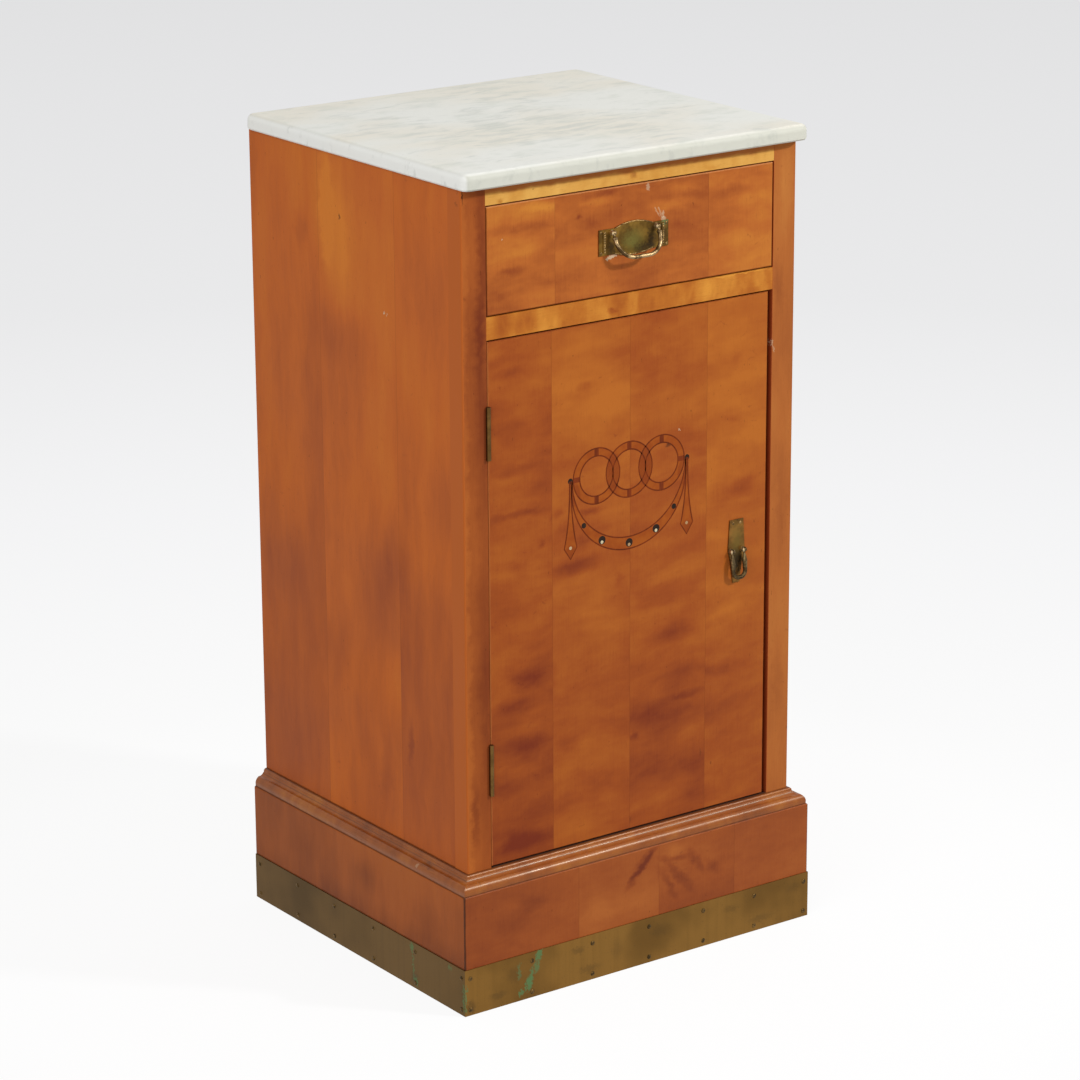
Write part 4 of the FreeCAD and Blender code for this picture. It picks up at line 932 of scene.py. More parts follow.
@dataclass(frozen=True)
class Steel:
    """Blued spring steel of the catch, brushed and a little brown."""

    name: str = "catch_steel"
    bright: Colour = (128, 126, 122)
    brown: Colour = (96, 66, 44)

    def make(self) -> bpy.types.Material:
        """Build the material.

        Returns:
            The finished steel.
        """
        coat = Coat(self.name)
        brushed = coat.noise(coat.place, (60.0, 60.0, 1800.0), 2.0, 0.6)
        rust = coat.noise(coat.place, 260.0, 3.0, 0.6)
        colour = coat.blend(coat.ease(rust, 0.52, 0.72, 0.0, 0.7), paint(self.bright),
                            paint(self.brown))
        return coat.finish(Base_Color=colour, Metallic=1.0 - coat.ease(rust, 0.6, 0.8) * 0.6,
                           Roughness=brushed * 0.3 + 0.22, Normal=coat.bump(brushed, 0.1, 0.0002))


# ------------------------------------------------------------------ repeated work


def point_mesh(name: str, points: list[Vector], facings: list[Vector]) -> bpy.types.Mesh:
    """Make loose points that each know which way they face.

    Args:
        name: The mesh's name.
        points: Their places, in metres.
        facings: The way out of the surface at each.

    Returns:
        A mesh of vertices with an attribute named facing.
    """
    mesh = bpy.data.meshes.new(name)
    mesh.from_pydata([tuple(point) for point in points], [], [])
    attribute = mesh.attributes.new("facing", "FLOAT_VECTOR", "POINT")
    for item, facing in zip(attribute.data, facings):
        item.vector = facing
    return mesh


def path_mesh(name: str, paths: list[tuple[list[Vector], bool]]) -> bpy.types.Mesh:
    """Make paths of loose edges.

    Args:
        name: The mesh's name.
        paths: Each path's points, in metres, and whether it closes on itself.

    Returns:
        A mesh of vertices and edges.
    """
    points: list[tuple] = []
    edges: list[tuple[int, int]] = []
    for path, closed in paths:
        first = len(points)
        points.extend(tuple(point) for point in path)
        edges.extend((first + i, first + i + 1) for i in range(len(path) - 1))
        if closed:
            edges.append((len(points) - 1, first))
    mesh = bpy.data.meshes.new(name)
    mesh.from_pydata(points, edges, [])
    return mesh


@dataclass
class DomeJig:
    """Sets a low dome on every point, its flat side down: nail heads and beads.

    The tip is a small number that keeps the top of the dome from a division by nought.
    """

    material: bpy.types.Material
    sides: int = 14
    rings: int = 4
    tip: float = 0.00001

    def build(self) -> Jig:
        """Build the tree.

        Returns:
            A jig with the sizes Radius and Rise.
        """
        jig = Jig("dome_jig", {"Radius": 0.002, "Rise": 0.001})
        radius, rise = jig.size("Radius"), jig.size("Rise")
        cone = jig.node("GeometryNodeMeshCone", {"fill_type": "NGON"}, {
            "Vertices": self.sides, "Side Segments": self.rings, "Fill Segments": 1,
            "Radius Top": 0.0, "Radius Bottom": radius, "Depth": rise})
        x, y, z = jig.split(jig.node("GeometryNodeInputPosition"))
        out = 1.0 - z / rise
        widen = jig.math("SQRT", out) / (out + self.tip)
        domed = jig.node("GeometryNodeSetPosition", None, {
            "Geometry": cone, "Position": jig.join(x * widen, y * widen, z)})
        facing = jig.node("GeometryNodeInputNamedAttribute", {"data_type": "FLOAT_VECTOR"},
                          {"Name": "facing"})
        turn = jig.node("FunctionNodeAlignRotationToVector", {"axis": "Z"}, {"Vector": facing})
        heads = jig.node("GeometryNodeInstanceOnPoints", None, {
            "Points": jig.mesh, "Instance": domed, "Rotation": turn})
        jig.close(heads, self.material)
        return jig


@dataclass
class BeadingJig:
    """Lays a round bead of metal along every edge path."""

    material: bpy.types.Material
    sides: int = 8

    def build(self) -> Jig:
        """Build the tree.

        Returns:
            A jig with the size Radius.
        """
        jig = Jig("beading_jig", {"Radius": 0.0005})
        path = jig.node("GeometryNodeMeshToCurve", None, {"Mesh": jig.mesh})
        section = jig.node("GeometryNodeCurvePrimitiveCircle", {"mode": "RADIUS"},
                           {"Resolution": self.sides, "Radius": jig.size("Radius")})
        bead = jig.node("GeometryNodeCurveToMesh", None, {
            "Curve": path, "Profile Curve": section, "Fill Caps": True})
        jig.close(bead, self.material)
        return jig


@dataclass
class StringingJig:
    """Lays a flat line of wood along every edge path, a hair proud of the door."""

    material: bpy.types.Material

    def build(self) -> Jig:
        """Build the tree.

        Returns:
            A jig with the sizes Width and Depth.
        """
        jig = Jig("stringing_jig", {"Width": 0.0009, "Depth": 0.00016})
        path = jig.node("GeometryNodeMeshToCurve", None, {"Mesh": jig.mesh})
        level = jig.node("GeometryNodeSetCurveNormal", {"mode": "FREE"},
                         {"Curve": path, "Normal": (0.0, -1.0, 0.0)})
        section = jig.node("GeometryNodeCurvePrimitiveQuadrilateral", None,
                           {"Width": jig.size("Depth"), "Height": jig.size("Width")})
        line = jig.node("GeometryNodeCurveToMesh", None, {
            "Curve": level, "Profile Curve": section, "Fill Caps": True})
        jig.close(line, self.material)
        return jig


# ------------------------------------------------------------------ sub-assemblies


@dataclass
class Assembly:
    """A group of solids on one body, with the pieces that are added to them."""

    nodes: dict[str, bpy.types.Object]
    body: str

    def dress(self, material: bpy.types.Material, *names: str) -> None:
        """Give solids their material.

        Args:
            material: The material.
            names: The solids' nodes.
        """
        for name in names:
            for place in self.nodes[name].material_slots:
                place.material = material
            log.info("dressed %s in %s", name, material.name)

    def mount(self, piece: bpy.types.Object, slot: str, *replaced: str) -> None:
        """Fix a piece to the body.

        Args:
            piece: The piece, with its place in its mesh.
            slot: A material slot of the model; not used.
            replaced: Solids that it stands for.
        """
        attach(piece, self.body)
        if replaced:
            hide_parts(*replaced)
        log.info("built %s on %s: %d faces", piece.name, self.body, len(piece.data.polygons))


@dataclass
class Carcase(Assembly):
    """Marble top, sides, stiles, rails and everything inside."""

    upright_softwood: tuple[str, ...] = ("back_panel", "door_stop")
    deep_softwood: tuple[str, ...] = (
        "left_shelf_cleat", "right_shelf_cleat", "left_drawer_runner", "right_drawer_runner",
        "left_drawer_kicker", "right_drawer_kicker")
    wide_softwood: tuple[str, ...] = (
        "top_back_rail", "dust_board", "shelf", "drawer_stops")

    def finish(self) -> None:
        """Dress the top, the veneered faces and the plain inside."""
        self.dress(Marble().make(), "marble_top")
        self.dress(self.side().make(), "left_side_panel", "right_side_panel")
        self.dress(self.left_stile().make(), "left_front_stile")
        self.dress(self.right_stile().make(), "right_front_stile")
        self.dress(self.top_rail().make(), "top_front_rail")
        self.dress(self.middle_rail().make(), "middle_rail")
        self.dress(Softwood("softwood_upright").make(), *self.upright_softwood)
        self.dress(Softwood("softwood_deep", lies_along=Across.Y).make(), *self.deep_softwood)
        self.dress(Softwood("softwood_wide", lies_along=Across.X).make(), *self.wide_softwood)
        self.dress(Softwood("softwood_floor", lies_along=Across.X, stained_to=-146.0).make(),
                   "cupboard_floor")
        self.dress(Steel().make(), "catch_clip")

    @staticmethod
    def side() -> Veneer:
        """Give the finish of the side panels.

        Returns:
            The veneer.
        """
        return Veneer(
            "side_veneer", across=Across.Y, figure=Figure.STREAK, middle=(198, 103, 42),
            gold=(216, 126, 48), deep=(150, 72, 38), tone=0.5, flame=0.4, broad=0.4, mottle=0.25,
            polish=0.08, joints=(-61.0, 66.0), leaf_tones=(0.0, 0.05, -0.02),
            clouds=(Patch(97, 700, 14, 21, 0.35), Patch(49, 609, 51, 29, 0.2),
                    Patch(-2, 600, 42, 38, 0.2), Patch(-129, 486, 40, 57, 0.2),
                    Patch(-54, 410, 20, 49, 0.25), Patch(-44, 369, 42, 59, 0.2),
                    Patch(44, 296, 35, 36, 0.2), Patch(-107, 229, 25, 30, 0.1),
                    Patch(-49, 242, 24, 40, 0.2), Patch(-75, 234, 5, 26, 0.4),
                    Patch(-34, 187, 12, 26, 0.3)),
            lines=(Line(Grain.LYING, 134.0, 1.4, (84, 40, 18), 0.6),),
            lights=(Patch(52, 726, 13, 70, 1.0), Patch(34, 700, 22, 60, 0.5),
                    Patch(-10, 700, 90, 130, 0.2)),
            chips=(Patch(-42.7, 643.6, 1.3, 1.6, 1.0), Patch(-47.8, 643.4, 1.0, 1.4, 0.8)),
            stains=(Patch(31, 721, 1.8, 3.0, 0.7), Patch(-160, 168, 8, 16, 0.5)),
            foot_from=0.13, foot_to=0.62, foot_tone=-0.24, seed=0.4)

    @staticmethod
    def left_stile() -> Veneer:
        """Give the finish of the hinge stile.

        Returns:
            The veneer.
        """
        return Veneer(
            "left_stile_veneer", middle=(162, 84, 38), gold=(190, 106, 46), deep=(118, 52, 28),
            figure=Figure.STREAK, tone=0.44, flame=0.3, broad=0.6, mottle=0.3, polish=0.08,
            lights=(Patch(-190, 400, 6.0, 900, 0.5), Patch(-178, 720, 12, 60, 0.25)),
            clouds=(Patch(-168, 500, 10, 500, 0.35), Patch(-170, 690, 6, 90, 0.3),
                    Patch(-174, 640, 8, 30, 0.3), Patch(-181, 190, 5, 34, 0.5)),
            # Painted shade: this dark mark at the top of the left arris is the deep shade under the
            # marble's corner.
            stains=(Patch(-190.2, 771, 1.3, 6.5, 0.9),),
            lines=(Line(Grain.UPRIGHT, -190.5, 2.0, (188, 98, 42), 1.0),), seed=1.9)

    @staticmethod
    def right_stile() -> Veneer:
        """Give the finish of the opening stile.

        Returns:
            The veneer.
        """
        return Veneer(
            "right_stile_veneer", middle=(180, 104, 50), gold=(202, 132, 64), deep=(140, 72, 38),
            figure=Figure.STREAK, tone=0.5, flame=0.3, broad=0.6, mottle=0.3, polish=0.08,
            lights=(Patch(180, 740, 12, 60, 0.3),),
            clouds=(Patch(172, 640, 8, 26, 0.35), Patch(178, 420, 8, 60, 0.25),
                    Patch(175, 250, 7, 50, 0.25)),
            chips=(Patch(164.8, 586, 1.0, 4.5, 0.5), Patch(166.4, 580, 1.0, 3.0, 0.4)),
            # Painted light and shade: the stile's inner face in the door gap is painted red-brown
            # to stand for how the gap looks in shade.
            lines=(Line(Grain.UPRIGHT, 164.0, 0.5, (150, 62, 30), 0.9),), seed=3.1)

    @staticmethod
    def top_rail() -> Veneer:
        """Give the finish of the rail over the drawer, with painted shade under the marble.

        Returns:
            The veneer.
        """
        return Veneer(
            "top_rail_birch", grain=Grain.LYING, middle=(212, 148, 64), gold=(234, 180, 92),
            deep=(154, 88, 42), tone=0.76, flame=0.4, broad=0.4, mottle=0.5, flame_size=0.8,
            clouds=(Patch(-146.7, 765, 3.5, 2.8, 0.9), Patch(-2, 765.5, 5, 2.8, 0.7),
                    Patch(90, 764, 10, 3, 0.4)),
            # Painted shade: a darker red-brown band along the top of the rail, where the marble's
            # shadow falls.
            lines=(Line(Grain.LYING, 776.0, 7.4, (168, 84, 36), 0.8),), seed=4.7)

    @staticmethod
    def middle_rail() -> Veneer:
        """Give the finish of the rail between drawer and door.

        Returns:
            The veneer.
        """
        return Veneer(
            "middle_rail_birch", grain=Grain.LYING, middle=(189, 111, 39), gold=(220, 148, 58),
            deep=(154, 72, 26), tone=0.55, flame=0.8, broad=0.5, mottle=0.6, flame_size=0.75,
            clouds=(Patch(-22.9, 645, 5, 4, 0.8), Patch(-15, 653, 9, 9, 0.3),
                    Patch(52, 650, 6, 10, 0.4), Patch(-138, 648, 26, 12, 0.6)),
            lights=(Patch(110, 659.2, 60, 1.0, 0.9), Patch(96, 650, 60, 14, 0.35)), seed=5.3)


@dataclass
class Plinth(Assembly):
    """Moulding, plinth boards and the brass band round the foot.

    Sizes are in millimetres, and the nails stand at shares of half the band's length.
    """

    band_half_x: float = 206.0
    band_half_y: float = 182.5
    half_deep: float = 183.5
    rows: tuple[float, ...] = (5.8, 37.0)
    front_shares: tuple[float, ...] = (-0.97, -0.627, -0.284, 0.044, 0.364, 0.67, 0.973)
    side_shares: tuple[float, ...] = (-0.962, -0.544, -0.153, 0.219, 0.58, 0.96)
    nail_radius: float = 2.4
    nail_rise: float = 0.95

    def nail_heads(self) -> bpy.types.Mesh:
        """Give the places of the nails along the band.

        Returns:
            A point for each nail, with its way out of the band.
        """
        points, facings = [], []
        for row in self.rows:
            for share in self.front_shares:
                points.append(Vector((share * self.band_half_x, -self.band_half_y, row)) * MM)
                facings.append(Vector((0, -1, 0)))
            for share in self.side_shares:
                for hand in (-1, 1):
                    place = Vector((hand * self.band_half_x, share * self.half_deep, row))
                    points.append(place * MM)
                    facings.append(Vector((hand, 0, 0)))
        return point_mesh("band_nail_places", points, facings)

    def build(self) -> None:
        """Drive the dome nails."""
        metal = Brass("band_nail_brass", clean=(120, 92, 52), tarnish=(64, 50, 30), share=0.5,
                      rough=0.5, grain=300.0).make()
        jig = DomeJig(metal).build()
        nails = jig.run("band_dome_nails", self.nail_heads(),
                        {"Radius": self.nail_radius * MM, "Rise": self.nail_rise * MM})
        self.mount(nails, "band_brass", "band_nails")

    def finish(self) -> None:
        """Dress moulding, plinth and band."""
        self.dress(self.moulding(Across.X).make(), "moulding_front")
        self.dress(self.moulding(Across.Y).make(), "moulding_left", "moulding_right")
        self.dress(self.front_board().make(), "plinth_front")
        self.dress(self.side_board().make(), "plinth_left", "plinth_right")
        self.dress(Softwood("softwood_plinth", lies_along=Across.X).make(), "plinth_back")
        self.dress(Softwood("softwood_blocks").make(), "plinth_corner_blocks")
        self.dress(self.front_band().make(), "band_front")
        self.dress(self.side_band().make(), "band_left", "band_right")

    @staticmethod
    def moulding(across: Across) -> Veneer:
        """Give the finish of a length of moulding.

        Args:
            across: The axis that it runs along.

        Returns:
            The veneer.
        """
        return Veneer(
            f"moulding_birch_{across.name.lower()}", across=across, grain=Grain.LYING,
            middle=(150, 80, 31), gold=(186, 116, 44), deep=(100, 48, 22), tone=0.5, flame=0.5,
            broad=0.7, mottle=0.5, flame_size=1.2, polish=0.38, matt=0.31,
            # Dark lines: the joint with the plinth at 118 mm; painted shade along the top edge at
            # 134 mm, under the door's foot, and in the groove at 129.3 mm.
            lines=(Line(Grain.LYING, 118.0, 1.0, (66, 34, 18), 0.6),
                   Line(Grain.LYING, 134.0, 0.8, (64, 30, 14), 0.6),
                   Line(Grain.LYING, 129.3, 0.6, (80, 40, 16), 0.5)),
            chips=() if across is Across.X else (Patch(-100.6, 124, 2.0, 2.2, 0.35),),
            stains=() if across is Across.X else (Patch(-112, 127, 14, 2.2, 0.45),), seed=6.2)

    @staticmethod
    def front_board() -> Veneer:
        """Give the finish of the front of the plinth.

        Returns:
            The veneer.
        """
        return Veneer(
            "plinth_front_veneer", middle=(157, 80, 37), gold=(182, 104, 48), deep=(116, 50, 28),
            tone=0.5, flame=0.35, broad=0.6, mottle=0.35, flame_size=1.6,
            joints=(-73.7, 21.5, 113.4), leaf_tones=(-0.06, 0.1, -0.02, 0.08),
            clouds=(Patch(0, 99, 25, 4.2, 1.15, lean=42), Patch(4, 108, 16, 4.0, 0.6, lean=30),
                    Patch(44, 82, 30, 5.0, 0.6, lean=-50), Patch(40, 101, 20, 3.8, 0.6, lean=-12),
                    Patch(33, 76, 22, 5.0, 0.5, lean=-62), Patch(66, 92, 20, 5.0, 0.5, lean=-54),
                    Patch(87, 80, 12, 6, 0.4, lean=-50), Patch(-127, 96, 20, 10, 0.4),
                    Patch(-145, 80, 30, 14, 0.3), Patch(150, 70, 30, 30, 0.2)),
            lights=(Patch(40, 108, 16, 8, 0.4), Patch(-50, 70, 16, 22, 0.3)),
            lines=(Line(Grain.UPRIGHT, -205.0, 2.0, (58, 30, 18), 0.85),
                   Line(Grain.UPRIGHT, 205.0, 0.9, (70, 34, 18), 0.5),
                   Line(Grain.LYING, 118.0, 0.7, (80, 42, 24), 0.5)),
            foot_from=0.046, foot_to=0.07, foot_tone=-0.1, seed=7.7)

    @staticmethod
    def side_board() -> Veneer:
        """Give the finish of the sides of the plinth.

        Returns:
            The veneer.
        """
        return Veneer(
            "plinth_side_veneer", across=Across.Y, middle=(170, 90, 40), gold=(190, 110, 50),
            deep=(114, 54, 24), figure=Figure.STREAK, tone=0.5, flame=0.3, broad=0.7, mottle=0.3,
            polish=0.08,
            lines=(Line(Grain.UPRIGHT, -181.5, 1.9, (58, 30, 18), 0.85),
                   Line(Grain.LYING, 118.0, 1.0, (70, 36, 20), 0.6),
                   Line(Grain.LYING, 46.4, 1.4, (80, 40, 20), 0.5)),
            clouds=(Patch(95, 80, 30, 26, 0.3), Patch(-20, 90, 20, 18, 0.25),
                    Patch(-120, 70, 30, 26, 0.3)),
            foot_from=0.046, foot_to=0.07, foot_tone=-0.14, seed=8.9)

    @staticmethod
    def front_band() -> Brass:
        """Give the finish of the front of the band.

        Returns:
            The brass.
        """
        return Brass(
            "band_front_brass", clean=(136, 99, 47), tarnish=(112, 81, 38), share=0.45, rough=0.5,
            grain=9.0, streaks=True,
            green=(Patch(-121, 41, 4.5, 7, 0.9), Patch(-124, 30, 4, 7, 0.7),
                   Patch(-133, 15, 4.4, 9, 0.95), Patch(-130, 24, 2.2, 8, 0.8),
                   Patch(-144, 30, 2.5, 10, 0.5), Patch(-142, 8, 4, 4, 0.8),
                   Patch(-205, 16, 1.4, 18, 0.8)),
            dark=(Patch(-76, 34, 9, 4, 0.3), Patch(110, 30, 12, 4, 0.2),
                  Patch(-199, 8, 6, 8, 0.4), Patch(-150, 28, 9, 10, 0.25),
                  Patch(-168, 12, 12, 5, 0.3), Patch(-62, 12, 16, 5, 0.25),
                  Patch(22, 30, 14, 8, 0.2), Patch(146, 12, 18, 5, 0.25),
                  Patch(-30, 24, 8, 14, 0.15), Patch(186, 34, 12, 6, 0.2)))

    @staticmethod
    def side_band() -> Brass:
        """Give the finish of the sides of the band.

        Returns:
            The brass.
        """
        return Brass(
            "band_side_brass", clean=(104, 77, 36), tarnish=(86, 64, 31), share=0.45, rough=0.5,
            grain=7.0, streaks=True, across=Across.Y,
            green=(Patch(-95, 40, 3.0, 6, 0.7), Patch(-97, 22, 1.6, 14, 0.55),
                   Patch(-101, 8, 4.5, 6, 0.6), Patch(-180.5, 18, 2.0, 18, 0.6),
                   Patch(-158, 41, 5, 3, 0.4)),
            dark=(Patch(-99, 10, 7, 8, 0.4),))


@dataclass
class Drawer(Assembly):
    """The drawer box and its front."""

    def finish(self) -> None:
        """Dress the front and the box."""
        self.dress(self.front().make(), "drawer_front")
        self.dress(Softwood("softwood_drawer_sides", lies_along=Across.Y).make(),
                   "drawer_left_side", "drawer_right_side")
        self.dress(Softwood("softwood_drawer_cross", lies_along=Across.X).make(),
                   "drawer_back", "drawer_bottom")

    @staticmethod
    def front() -> Veneer:
        """Give the finish of the drawer front.

        Returns:
            The veneer.
        """
        return Veneer(
            "drawer_front_veneer", middle=(184, 101, 42), gold=(210, 134, 52), deep=(134, 58, 28),
            tone=0.5, flame=0.6, broad=0.6, mottle=0.35, slope=0.03, joints=(-88.0, 87.0),
            leaf_tones=(0.06, -0.02, 0.06),
            clouds=(Patch(-126, 737, 35, 5.4, 0.4), Patch(-135, 699, 15, 5.5, 0.5),
                    Patch(-148, 677, 15, 6.4, 0.3), Patch(-31, 755, 25, 4.6, 0.35),
                    Patch(124, 738, 33, 6.6, 0.35), Patch(-62, 737.5, 3.4, 2.8, 0.6),
                    Patch(124, 677, 30, 11, 0.2), Patch(8, 668, 30, 9, 0.2)),
            lights=(Patch(44, 735, 28, 7.4, 0.55), Patch(-104, 753, 24, 5, 0.5),
                    Patch(-38, 748, 25, 4.6, 0.4), Patch(60, 750, 26, 6, 0.4),
                    Patch(-125, 715, 28, 8, 0.3)),
            chips=(Patch(16.7, 755.0, 2.6, 4.0, 0.5), Patch(27.0, 731.0, 0.9, 7.0, 0.4, lean=30),
                   Patch(30.5, 730.0, 1.2, 6.0, 0.4, lean=18), Patch(34.0, 727.5, 1.8, 4.6, 0.55),
                   Patch(34.6, 723.4, 3.4, 2.6, 0.6),
                   Patch(-27.0, 695.0, 5.6, 2.2, 0.9, lean=8), Patch(-21.5, 696.2, 4.0, 1.6, 0.8),
                   Patch(-146, 728, 0.8, 1.2, 0.7)),
            # Painted highlight: the pale line along the top arris. Painted shade: the dark line at
            # the right gap, and the arrises darkened by edges.
            lines=(Line(Grain.LYING, 759.3, 0.9, (214, 150, 96), 0.6),
                   Line(Grain.UPRIGHT, 163.0, 0.6, (60, 26, 12), 0.5)),
            edges=(-163.0, 163.0, 661.0, 2000.0), seed=10.3)


@dataclass
class Door(Assembly):
    """The door, its inlay and its stringing.

    Sizes are in millimetres. Each line of the festoon has a radius and the height of its middle.
    """

    middle_x: float = -4.05
    ring_z: float = 491.8
    face_y: float = -167.0
    ring_step: float = 37.7
    ring_radii: tuple[float, float] = (26.6, 19.2)
    festoon_outer: tuple[float, float] = (66.1, 481.1)
    festoon_inner: tuple[float, float] = (65.8, 492.6)
    festoon_out: float = 67.6
    drop_long: float = 75.0
    drop_widest: float = 64.0
    drop_half: float = 7.2
    drop_neck: float = 0.9
    drop_straight: float = 2.3
    drop_curved: float = 4.0
    festoon_below: float = 1.0
    ring_steps: int = 72
    festoon_steps: int = 60
    drop_steps: int = 12
    line_wide: float = 1.25
    line_deep: float = 0.18

    def _run(self, spots: list[tuple[float, float]], closed: bool, paths: list) -> None:
        """Add one path to the list, its spots given across and up in millimetres."""
        paths.append(([Vector((x, self.face_y, z)) * MM for x, z in spots], closed))

    def line_paths(self) -> list[tuple[list[Vector], bool]]:
        """Work out where the stringing runs.

        Returns:
            Each path as its points, and whether it closes on itself.
        """
        paths: list[tuple[list[Vector], bool]] = []
        for number in (-1, 0, 1):
            x = self.middle_x + number * self.ring_step
            for radius in self.ring_radii:
                turns = [math.tau * step / self.ring_steps for step in range(self.ring_steps)]
                self._run([(x + radius * math.cos(a), self.ring_z + radius * math.sin(a))
                           for a in turns], True, paths)
        for radius, middle_z in (self.festoon_outer, self.festoon_inner):
            end = math.asin((self.ring_z - self.festoon_below - middle_z) / radius)
            turns = [math.pi - end + (math.pi + 2 * end) * step / self.festoon_steps
                     for step in range(self.festoon_steps + 1)]
            self._run([(self.middle_x + radius * math.cos(a), middle_z + radius * math.sin(a))
                       for a in turns], False, paths)
        for hand in (-1, 1):
            x = self.middle_x + hand * self.festoon_out
            downs = [self.drop_widest * step / self.drop_steps
                     for step in range(self.drop_steps + 1)]
            left = [(x - self._drop_half(down), self.ring_z - down) for down in downs]
            right = [(2 * x - a, z) for a, z in reversed(left)]
            self._run([*left, (x, self.ring_z - self.drop_long), *right], False, paths)
        return paths

    def _drop_half(self, down: float) -> float:
        """Give half the width of a drop.

        Args:
            down: How far below its stud, in millimetres.

        Returns:
            Half its width there.
        """
        share = down / self.drop_widest
        swell = self.drop_straight * share + self.drop_curved * share * share
        most = self.drop_straight + self.drop_curved
        return self.drop_neck + swell * (self.drop_half - self.drop_neck) / most * share

    def build(self) -> None:
        """Lay the stringing."""
        line = Inlay("stringing", (124, 51, 15), (98, 39, 12), rough=0.45).make()
        jig = StringingJig(line).build()
        mesh = path_mesh("stringing_paths", self.line_paths())
        lines = jig.run("door_stringing", mesh, {"Width": self.line_wide * MM,
                                                 "Depth": self.line_deep * MM}, smooth=False)
        self.mount(lines, "inlay_dark")

    def finish(self) -> None:
        """Dress the panel and what is let into it."""
        self.dress(self.panel().make(), "door_panel")
        fill = Inlay("inlay_fill", (168, 86, 27), (154, 72, 23), stretch=(90.0, 90.0, 90.0),
                     dark=(Patch(-22.9, 491.8, 8.0, 19.5, 0.55),
                           Patch(14.8, 491.8, 8.0, 19.5, 0.6), Patch(-71.6, 421, 9, 10, 0.5),
                           Patch(63.5, 421, 9, 10, 0.5), Patch(-66, 478, 6, 12, 0.5),
                           Patch(58, 478, 6, 14, 0.5))).make()
        self.dress(fill, "inlay_rings", "inlay_festoon", "inlay_drops")
        self.dress(Inlay("inlay_dark", (130, 55, 20), (108, 44, 16)).make(), "inlay_blocks")
        self.dress(Inlay("ebony", (52, 37, 26), (34, 25, 20), rough=0.32).make(), "ebony_studs")
        self.dress(Pearl(yellowed=(Patch(-71.6, 428, 5, 6, 0.45), Patch(63.5, 428, 5, 6, 0.8),
                                   Patch(-4, 425, 9, 9, 0.7))).make(), "pearl_studs")

    @staticmethod
    def panel() -> Veneer:
        """Give the finish of the door's four leaves.

        Returns:
            The veneer.
        """
        return Veneer(
            "door_veneer", middle=(160, 78, 30), gold=(186, 105, 38), deep=(120, 46, 24),
            tone=0.52, flame=0.65, broad=0.5, mottle=0.28, slope=0.06, joints=(-92.5, -3.0, 87.0),
            leaf_tones=(-0.16, 0.02, -0.01, 0.10),
            clouds=(Patch(-144, 633, 22, 7, 0.4), Patch(-134, 605, 23, 6, 0.5),
                    Patch(-54, 579, 9, 5, 0.5), Patch(121, 579, 8, 7, 0.35),
                    Patch(-139, 550, 23, 15, 0.35), Patch(-134, 512, 29, 6, 0.45),
                    Patch(122, 520, 17, 5, 0.35), Patch(121, 452, 34, 11, 0.5),
                    Patch(-128, 471, 34, 4, 0.55), Patch(-47, 459, 15, 4, 0.6),
                    Patch(-87, 462, 9, 6, 0.45), Patch(-56, 432, 10, 6, 0.4),
                    Patch(-105, 439, 4.5, 4, 0.5), Patch(-142, 424, 19, 6, 0.3),
                    Patch(-64, 409, 28, 8, 0.55), Patch(-15, 389, 7, 6, 0.4),
                    Patch(36, 361, 40, 13, 0.42), Patch(54, 321, 32, 13, 0.55),
                    Patch(56, 276, 31, 14, 0.55), Patch(63, 257, 22, 4, 0.5),
                    Patch(-118, 311, 25, 12, 0.6), Patch(-136, 286, 30, 9, 0.45),
                    Patch(43, 240, 42, 16, 0.45), Patch(2, 229, 6, 4, 0.55),
                    Patch(-126, 247, 31, 9, 0.5), Patch(-144, 210, 20, 10, 0.35),
                    Patch(-123, 152, 30, 15, 0.7), Patch(-75, 236, 16, 9, 0.4),
                    Patch(76, 157, 18, 11, 0.4), Patch(38, 430, 45, 14, 0.25)),
            lights=(Patch(-20, 560, 40, 30, 0.3), Patch(125, 600, 24, 26, 0.25),
                    Patch(-30, 340, 30, 40, 0.25), Patch(120, 340, 26, 60, 0.2)),
            chips=(Patch(54.0, 520.3, 1.2, 1.3, 1.0),),
            stains=(Patch(42.3, 509.0, 3.6, 2.0, 0.75), Patch(-1, 144, 2.5, 4, 0.35),
                    Patch(82, 194, 0.9, 7, 0.35), Patch(96, 181, 1.2, 2, 0.5)),
            foot_from=0.13, foot_to=0.50, foot_tone=-0.22,
            # edges lays painted shade of the gaps at the right, foot and head; the pale line on the
            # hinge edge is partly bare wood and partly painted light against the gap's shade.
            edges=(-2000.0, 159.0, 135.5, 637.0),
            lines=(Line(Grain.UPRIGHT, -163.0, 1.0, (206, 124, 66), 0.75),), seed=12.9)


@dataclass
class Hinges(Assembly):
    """The butt hinges between stile and door."""

    def finish(self, door: Assembly) -> None:
        """Dress leaves, pins and screws on both bodies.

        Args:
            door: The door, which carries the other leaf.
        """
        metal = Brass("hinge_brass", clean=(120, 90, 48), tarnish=(98, 72, 38), share=0.5,
                      rough=0.44, grain=60.0).make()
        self.dress(metal, "hinge_frame_leaves", "hinge_pins", "hinge_frame_screws")
        door.dress(metal, "hinge_door_leaves", "hinge_door_screws", "catch_stud")


